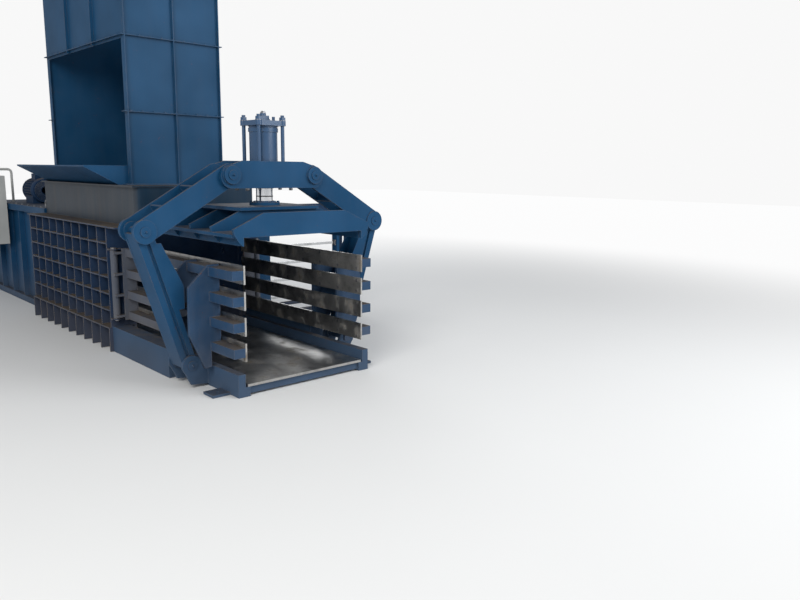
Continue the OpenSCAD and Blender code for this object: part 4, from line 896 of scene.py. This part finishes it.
@dataclass
class Linkage:
    """Details of the levers, the links and the foot lugs on both sides."""

    foot: tuple[float, float] = (0.765, 0.181)
    knee: tuple[float, float] = (1.088, 1.230)
    head: tuple[float, float] = (0.390, 1.640)
    web_out: float = 0.102
    web_shares: Places = (0.27, 0.62)
    lug_out: Places = (0.129, 0.104)
    rail_y: float = 0.632

    def build(self) -> None:
        """Make the pieces of both sides."""
        low, high = corners("crosshead")
        self.x = (low[0] + high[0]) / 2
        for hand, sign in HANDS:
            for joint, (y, z), pin, body in (("knee", self.knee, f"{hand}_knee_pin", f"{hand}_lever"),
                                             ("foot", self.foot, "foot_pins", "frame")):
                s = Surface()
                nipple(s, (corners(pin)[1][0], sign * y, z))
                s.piece(f"{hand}_{joint}_nipple", Finish.BLUE, body)
            self._link_welds(hand, sign)
            self._lug_welds(hand, sign)

    def _link_welds(self, hand: str, sign: int) -> None:
        """Make the beads along the link's cross webs."""
        s = Surface()
        knee = np.array([sign * self.knee[0], self.knee[1]])
        head = np.array([sign * self.head[0], self.head[1]])
        along = (head - knee) / np.linalg.norm(head - knee)
        across = np.array([-along[1], along[0]]) * sign
        for side in (-1, 1):
            for share in self.web_shares:
                c = knee + (head - knee) * share
                x = self.x + side * self.web_out
                weld(s, (x, *(c - across * 0.072)), (x, *(c + across * 0.080)), 0.005)
        s.piece(f"{hand}_link_welds", Finish.BLUE, f"{hand}_link")

    def _lug_welds(self, hand: str, sign: int) -> None:
        """Make the beads where the foot lugs meet the rail."""
        s = Surface()
        for side in (-1, 1):
            for out in self.lug_out:
                x = self.x + side * out
                weld(s, (x, sign * self.rail_y, 0.018), (x, sign * self.rail_y, 0.138))
        s.piece(f"{hand}_lug_welds", Finish.BLUE, "frame")


@dataclass
class DischargeEnd:
    """Details of the platen, the side walls and their wear strips."""

    beam_z: Places = (0.340, 0.534, 0.728, 0.922)
    rib_faces: Places = (3.006, 2.979, 2.6635, 2.6355)
    rib_step: float = 0.33
    plate_z: float = 1.370
    liner_y: float = 0.550

    def build(self) -> None:
        """Make all the pieces."""
        self._platen_welds()
        for hand, sign in HANDS:
            self._wall_welds(hand, sign)
            self._strip_bolts(hand, sign)

    def _platen_welds(self) -> None:
        """Make the beads along the feet of the platen's ribs and along the plate on top."""
        s = Surface()
        mouth, z = corners("platen")[1][0] - 0.024, 1.222
        for i in range(5):
            x = mouth - self.rib_step * i
            weld(s, (x, -0.62, z), (x, 0.62, z))
        low, high = corners("top_plate")
        for y in (low[1], high[1]):
            weld(s, (low[0] + 0.02, y, self.plate_z), (high[0] - 0.02, y, self.plate_z), 0.004)
        s.piece("platen_welds", Finish.BLUE, "platen")

    def _wall_welds(self, hand: str, sign: int) -> None:
        """Make the beads between beams and ribs."""
        s = Surface()
        inner, outer, rib = 0.575 * sign, 0.655 * sign, 0.659 * sign
        for z in self.beam_z:
            for x in self.rib_faces:
                weld(s, (x, rib, z - 0.036), (x, rib, z + 0.036), 0.005)
                weld(s, (x, inner, z + 0.037), (x, outer, z + 0.037), 0.005)
        s.piece(f"{hand}_wall_welds", Finish.WALL_BLUE, f"{hand}_side_wall")

    def _strip_bolts(self, hand: str, sign: int) -> None:
        """Make the countersunk screws of the wear strips, level with the sliding face."""
        low, high = corners(f"{hand}_wear_strips")
        s = Surface()
        face = (self.liner_y - 0.0006) * sign
        head = [(0.0138, -0.0006), (0.0130, 0.0), (0.0070, 0.0), (0.0062, -0.0004), (0, -0.0004)]
        for z in self.beam_z:
            for x in np.linspace(low[0] + 0.06, high[0] - 0.06, 8):
                for d in (-0.045, 0.045):
                    turned(s, (x, face, z + d), (0, -sign, 0), head, 20)
        s.piece(f"{hand}_strip_screws", Finish.DARK_STEEL, f"{hand}_side_wall")


@dataclass
class HopperTrim:
    """Bolted seams, rim and chute edge of the hopper."""

    seam_z: Places = (2.199, 2.873)
    bolt_step: float = 0.16
    rear_x: float = -0.83
    front_x: float = 1.22
    side_y: float = 0.476
    foot_z: float = 1.54
    open_side_top: float = 2.5
    flange: float = 0.017

    def build(self) -> None:
        """Make all the pieces."""
        self._seam_bolts()
        self._rim()
        self._chute_edge()

    def _seam_bolts(self) -> None:
        """Make the bolts through the level flanges between the hopper's fields."""
        s = Surface()
        y = self.side_y + self.flange
        places = []
        for z in self.seam_z:
            for x in np.arange(self.rear_x + 0.06, self.front_x, self.bolt_step):
                places.append((x, y, z))
                if z > self.open_side_top:
                    places.append((x, -y, z))
            for d in np.arange(-0.44, 0.45, 0.11):
                places += [(self.front_x + self.flange, d, z), (self.rear_x - self.flange, d, z)]
        for place in places:
            hex_bolt(s, place, UP, 0.016, 0.009)
        s.piece("hopper_seam_bolts", Finish.HOPPER_BLUE, "frame")

    def _rim(self) -> None:
        """Make the weld bead under the hopper's upper rim and along its front corners."""
        s = Surface()
        z = corners("hopper")[1][2] - 0.010
        for y in (-self.side_y - 0.002, self.side_y + 0.002):
            weld(s, (self.rear_x, y, z), (self.front_x, y, z), 0.005)
        for x in (self.rear_x - 0.002, self.front_x + 0.002):
            weld(s, (x, -0.47, z), (x, 0.47, z), 0.005)
        x = self.front_x + 0.004
        for y in (0.002 - self.side_y, self.side_y - 0.002):
            weld(s, (x, y, self.foot_z), (x, y, z - 0.007), 0.004)
        s.piece("hopper_welds", Finish.HOPPER_BLUE, "frame")

    def _chute_edge(self) -> None:
        """Make the rounded bar along the lip of the chute."""
        low, high = corners("feed_chute")
        s = Surface()
        x = np.linspace(low[0] + 0.002, high[0] - 0.002, 40)
        path = np.stack([x, np.full(40, low[1] + 0.006), np.full(40, high[2] - 0.010)], -1)
        piped(s, path, 0.006, 10)
        s.piece("chute_lip_bar", Finish.HOPPER_BLUE, "frame")


@dataclass
class PowerUnit:
    """Details of the tank, the motor, the pump and the valves on the deck."""

    fin_count: int = 28
    motor_r: float = 0.140
    motor_foot: float = 0.025
    coil_y: Places = (-0.105, -0.035, 0.035, 0.105)

    def build(self) -> None:
        """Make all the pieces."""
        self._tank()
        low, high = corners("pump_motor")
        self.back, self.front = low[0] + 0.02, high[0]
        self.y, self.z = (low[1] + high[1]) / 2, DECK_Z + self.motor_r + self.motor_foot
        self._fins()
        self._grille()
        self._valves()

    def _tank(self) -> None:
        """Make the tank's cover, its bolts, the breather, the drain plug and the sight gauge."""
        (x0, y0, z0), (x1, y1, z1) = corners("oil_tank")
        z0, z1 = z0 + 0.04, z1 - 0.04
        x, y = (x0 + x1) / 2 + 0.18, (y0 + y1) / 2
        s = Surface()
        turned(s, (x, y, z1), UP, [(0, 0), (0.17, 0), (0.17, 0.010), (0.16, 0.014), (0, 0.014)], ROUND)
        breather = [(0, 0), (0.05, 0), (0.05, 0.03), (0.062, 0.035), (0.062, 0.028), (0.062, 0.09),
                    (0.05, 0.10), (0, 0.10)]
        turned(s, (x0 + 0.35, y1 - 0.12, z1), UP, breather)
        s.piece("tank_cover", Finish.DEEP_BLUE, "frame")
        s = Surface()
        for a in np.arange(10) * TAU / 10:
            hex_bolt(s, (x + 0.148 * math.cos(a), y + 0.148 * math.sin(a), z1 + 0.012), UP, 0.017, 0.010)
        plug = [(0, -0.002), (0.024, -0.002), (0.024, 0.012), (0.018, 0.014), (0.018, 0.026), (0, 0.026)]
        turned(s, (x0 + 0.12, y0, z0 + 0.05), (0, -1, 0), plug, 6)
        s.piece("tank_fittings", Finish.DARK_STEEL, "frame")
        s = Surface()
        x = x0 + 0.75
        for z in (z0 + 0.10, z0 + 0.30):
            block(s, (x - 0.018, y0 - 0.016, z), (x + 0.018, y0 + 0.001, z + 0.04), 0.003)
        block(s, (x - 0.012, y0 - 0.012, z0 + 0.13), (x + 0.012, y0 - 0.002, z0 + 0.31))
        s.piece("tank_gauge", Finish.BLACK, "frame")

    def _fins(self) -> None:
        """Make the motor's long cooling fins, left out at its top box and feet, and its fan cowl."""
        s = Surface()
        r, low, high = self.motor_r, self.motor_r - 0.004, self.motor_r + 0.017
        ends = (self.back + 0.045, self.back + 0.055, self.front - 0.085, self.front - 0.075)
        outline = list(zip(ends, (low, high, high, low)))
        faces = np.array([[3, 2, 1, 0], [4, 5, 6, 7], [0, 1, 5, 4], [1, 2, 6, 5], [2, 3, 7, 6], [3, 0, 4, 7]])
        for i in range(self.fin_count):
            a = TAU * i / self.fin_count
            if abs(math.sin(a) - 1.0) < 0.12 or math.sin(a) < -0.45:
                continue
            out = np.array([0.0, math.cos(a), math.sin(a)])
            aside = np.array([0.0, -math.sin(a), math.cos(a)]) * 0.0025
            side = np.array([np.array([x, self.y, self.z]) + out * h for x, h in outline])
            s.add(np.concatenate([side - aside, side + aside]), faces)
        cowl = [(r - 0.006, 0), (r + 0.016, 0), (r + 0.016, 0.060), (r + 0.006, 0.078), (0.05, 0.082),
                (0.045, 0.078), (0, 0.078)]
        turned(s, (self.front - 0.078, self.y, self.z), AHEAD, cowl, ROUND)
        s.piece("motor_fins_and_cowl", Finish.DEEP_BLUE, "frame")

    def _grille(self) -> None:
        """Make the cowl's grille, the lifting stud and the flange's bolts."""
        s = Surface()
        x, y, z, reach = self.back, self.y, self.z, 0.15
        turned(s, (x + 0.10, y, z + 0.205), UP, [(0.010, 0), (0.010, 0.012), (0, 0.012)], 12)
        for radius in np.linspace(0.06, 0.125, 6):
            weld_ring(s, (self.front + 0.004, y, z), AHEAD, radius, 0.0022)
        for i in range(4):
            a = TAU * (i + 0.5) / 4
            hex_bolt(s, (x, y + reach * math.cos(a), z + reach * math.sin(a)), AHEAD, 0.02, 0.012, False)
        s.piece("motor_grille", Finish.DARK_STEEL, "frame")

    def _valves(self) -> None:
        """Make the sockets of the valves and the bands of their coils."""
        low, high = corners("valve_block")
        s = Surface()
        x, top = low[0] + 0.01, high[2]
        band = [(0.0235, -0.022), (0.027, -0.016), (0.027, 0.016), (0.0235, 0.022)]
        for y in self.coil_y:
            block(s, (x + 0.085, y - 0.014, top - 0.001), (x + 0.115, y + 0.014, top + 0.030), 0.003)
            for end in (x - 0.004, x + 0.204):
                turned(s, (end, y, top - 0.028), AHEAD, band, 24)
        s.piece("valve_coils", Finish.BLACK, "frame")


@dataclass
class Cabinet:
    """Details of the control cabinet."""

    louvres: int = 7
    louvre_step: float = 0.026
    skin_y: float = -0.890
    handle_z: float = 1.13
    back_y: float = -0.664
    relay_z: Places = (0.86, 1.06, 1.26)

    def build(self) -> None:
        """Make all the pieces."""
        self.low, self.high = corners("cabinet_door")
        self._louvres()
        self._handle()
        self._back_panel()

    def _louvres(self) -> None:
        """Make the slanted louvres low on the door, each a thin curved sheet with a back."""
        s = Surface()
        face = min(self.low[1], self.skin_y)
        x0, x1 = self.low[0] + 0.16, self.high[0] - 0.14
        t = np.linspace(0.0, 1.0, 8)
        n = np.arange(7)
        faces = np.stack([n, n + 1, n + 9, n + 8], -1)
        y = face + 0.0005 - 0.010 * np.sin(t * math.pi / 2)
        for i in range(self.louvres):
            z = self.low[2] + 0.12 + i * self.louvre_step + 0.016 - 0.016 * t
            sheet = np.concatenate([np.stack([np.full(8, x), y, z], -1) for x in (x0, x1)])
            s.add(sheet, faces)
            back = sheet.copy()
            back[:, 1] = np.maximum(back[:, 1] + 0.0015, face - 0.0085)
            s.add(back, faces[:, ::-1])
        s.piece("door_louvres", Finish.GREY, "cabinet_door")

    def _handle(self) -> None:
        """Make the door's swing handle and its rosette."""
        s = Surface()
        x, z = self.high[0] - 0.045, self.handle_z
        block(s, (x - 0.016, -0.905, z - 0.07), (x + 0.016, -0.8915, z + 0.07), 0.004)
        block(s, (x - 0.009, -0.916, z - 0.055), (x + 0.009, -0.904, z + 0.058), 0.004)
        s.piece("door_swing_handle", Finish.BLACK, "cabinet_door")

    def _back_panel(self) -> None:
        """Make the mounting plate with relays and terminals inside the cabinet."""
        s = Surface()
        y = self.back_y
        block(s, (-2.75, y - 0.004, 0.76), (-2.27, y - 0.001, 1.50), 0.001)
        s.piece("cabinet_mounting_plate", Finish.BRIGHT_STEEL, "frame")
        s = Surface()
        for z in self.relay_z:
            for i in range(6):
                x = -2.72 + i * 0.074
                block(s, (x, y - 0.075, z), (x + 0.055, y - 0.005, z + 0.10), 0.003)
        s.piece("cabinet_relays", Finish.BLACK, "frame")


@dataclass
class HouseTrim:
    """Lifting eyes, the rigid cable duct and the bolts on the ram house."""

    eye_x: Places = (-3.20, -0.95)
    eye_y: float = 0.56
    eye_half: float = 0.045
    duct_x: float = -2.68

    def build(self) -> None:
        """Make all the pieces."""
        s = Surface()
        turn = np.linspace(0.0, math.pi, 15)
        r, foot = self.eye_half, DECK_Z - 0.001
        for x in self.eye_x:
            for y in (-self.eye_y, self.eye_y):
                z = DECK_Z + 0.035 + 0.05 * np.sin(turn)
                arch = np.stack([x + r * np.cos(turn), np.full(15, y), z], -1)
                piped(s, np.concatenate([[[x + r, y, foot]], arch, [[x - r, y, foot]]]), 0.011, 10)
        s.piece("deck_lifting_eyes", Finish.DARK_STEEL, "frame")
        s = Surface()
        turns = ((-0.76, 1.559), (-0.76, 1.64), (-0.45, 1.64), (-0.45, 1.216))
        piped(s, smooth_path([(self.duct_x, y, z) for y, z in turns], 0.05), 0.016)
        s.piece("cabinet_conduit", Finish.GREY, "frame")
        s = Surface()
        for x in np.arange(-3.2, -0.9, 0.24):
            for y in (-0.60, 0.60):
                hex_bolt(s, (x, y, DECK_Z), UP, 0.019, 0.011)
        s.piece("deck_bolts", Finish.DARK_STEEL, "frame")


@dataclass
class TyingUnit:
    """Details of the needle frame and the twister housing."""

    needle_z: Places = (0.243, 0.437, 0.631, 0.825, 1.019)
    cover_x: float = 1.167

    def build(self) -> None:
        """Make all the pieces."""
        low, high = corners("needle_carriage")
        s = Surface()
        x, y = (low[0] + high[0]) / 2, low[1]
        for z in self.needle_z:
            for near, far in ((-0.026, -0.0085), (0.0085, 0.026)):
                block(s, (x + near, y - 0.018, z - 0.034), (x + far, y + 0.001, z + 0.034))
            for d in (-0.022, 0.022):
                hex_bolt(s, (x + 0.026, y - 0.009, z + d), AHEAD, 0.013, 0.008, False)
        s.piece("needle_clamps", Finish.DARK_STEEL, "needle_carriage")
        s = Surface()
        x, face = self.cover_x, corners("twister_box")[1][1]
        for z in np.linspace(0.26, 1.06, 6):
            for d in (0.018, 0.152):
                hex_bolt(s, (x + d, face, z), (0, 1, 0), 0.015, 0.009)
        s.piece("twister_cover_bolts", Finish.DARK_STEEL, "frame")
        s = Surface()
        block(s, (x + 0.013, face - 0.001, 0.235), (x + 0.157, face + 0.004, 1.085))
        s.piece("twister_cover", Finish.DEEP_BLUE, "frame")


# Camera, light and stage


@dataclass
class Studio:
    """Camera at the photograph's place, soft lamps and the pale floor.

    Attributes:
        LAMPS: Name, place, aim, size, power in watts and colour of each lamp.
    """

    LAMPS = (
        ("key_lamp", (7.0, -6.5, 6.0), (0.5, 0.0, 1.0), 5.0, 520.0, (1.0, 0.985, 0.96)),
        ("mouth_lamp", (9.0, 3.5, 4.5), (2.0, 0.0, 1.0), 4.5, 330.0, (0.97, 0.985, 1.0)),
        ("rear_lamp", (-7.0, 6.0, 6.0), (-0.5, 0.0, 1.2), 5.0, 380.0, (0.97, 0.985, 1.0)),
    )
    eye: tuple[float, float, float] = (7.891, -3.257, 1.691)
    yaw: float = 43.17
    pitch: float = 10.29
    roll: float = -0.73
    focal_px: float = 714.6
    width_px: float = 800.0
    sensor: float = 36.0
    floor_half: float = 40.0
    floor_z: float = -0.0015
    soft_sky: tuple[Colour, float] = ((0.92, 0.95, 1.0), 0.46)
    seen_sky: tuple[Colour, float] = ((1.0, 1.0, 1.0), 0.94)

    def camera(self) -> None:
        """Make the camera, with its view direction from yaw and pitch and its roll about that direction."""
        data = bpy.data.cameras.new("photo_camera")
        data.sensor_width = self.sensor
        data.lens = self.sensor * self.focal_px / self.width_px
        data.clip_end = 200.0
        obj = link("photo_camera", data)
        yaw, pitch, roll = (math.radians(a) for a in (self.yaw, self.pitch, self.roll))
        ahead = Vector((-math.cos(yaw) * math.cos(pitch), math.sin(yaw) * math.cos(pitch), -math.sin(pitch)))
        right = ahead.cross(Vector((0, 0, 1))).normalized()
        down = ahead.cross(right)
        side = right * math.cos(roll) + down * math.sin(roll)
        down = down * math.cos(roll) - right * math.sin(roll)
        turn = Matrix((side, -down, -ahead)).transposed().to_4x4()
        obj.matrix_world = Matrix.Translation(self.eye) @ turn
        bpy.context.scene.camera = obj

    def lamps(self) -> None:
        """Make the square area lamps, each turned to the point that it faces."""
        for name, place, aim, size, power, colour in self.LAMPS:
            data = bpy.data.lights.new(name, "AREA")
            data.size, data.energy, data.color = size, power, colour
            obj = link(name, data)
            obj.location = place
            obj.rotation_euler = (Vector(aim) - Vector(place)).to_track_quat("-Z", "Y").to_euler()

    def world(self) -> None:
        """Make the pale world, which the camera sees as plain white."""
        world = bpy.data.worlds.new("studio")
        world.use_nodes = True
        tree = world.node_tree
        tree.nodes.clear()
        path = tree.nodes.new("ShaderNodeLightPath")
        seen = tree.nodes.new("ShaderNodeMath")
        seen.operation = "MAXIMUM"
        tree.links.new(path.outputs["Is Camera Ray"], seen.inputs[0])
        tree.links.new(path.outputs["Is Transmission Ray"], seen.inputs[1])
        mix = tree.nodes.new("ShaderNodeMixShader")
        tree.links.new(seen.outputs[0], mix.inputs[0])
        for slot, (colour, strength) in enumerate((self.soft_sky, self.seen_sky), 1):
            glow = tree.nodes.new("ShaderNodeBackground")
            glow.inputs["Color"].default_value = (*colour, 1.0)
            glow.inputs["Strength"].default_value = strength
            tree.links.new(glow.outputs[0], mix.inputs[slot])
        out = tree.nodes.new("ShaderNodeOutputWorld")
        tree.links.new(mix.outputs[0], out.inputs["Surface"])
        bpy.context.scene.world = world
        bpy.context.scene.view_settings.view_transform = "Standard"

    def floor(self) -> None:
        """Make the floor, a large level sheet just under the machine."""
        far = self.floor_half
        points = [(x, y, self.floor_z) for y in (-far, far) for x in (-far, far)]
        mesh = bpy.data.meshes.new("studio_floor")
        mesh.from_pydata(points, [], [(0, 1, 3, 2)])
        obj = link("studio_floor", mesh)
        mesh.materials.append(StageWhite("stage_floor", "", (0.74, 0.74, 0.73)).make())


def main() -> None:
    """Load the frame, dress it and add every piece."""
    logging.basicConfig(level=logging.INFO, format="%(message)s")
    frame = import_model()
    studio = Studio()
    for make in (studio.camera, studio.lamps, studio.world, studio.floor):
        make()
    dress_nodes(frame["nodes"])
    for part in (ClampHead, Linkage, DischargeEnd, HopperTrim, PowerUnit, Cabinet, HouseTrim, TyingUnit):
        part().build()
        LOG.info("built %s", part.__name__)


if __name__ == "__main__":
    main()
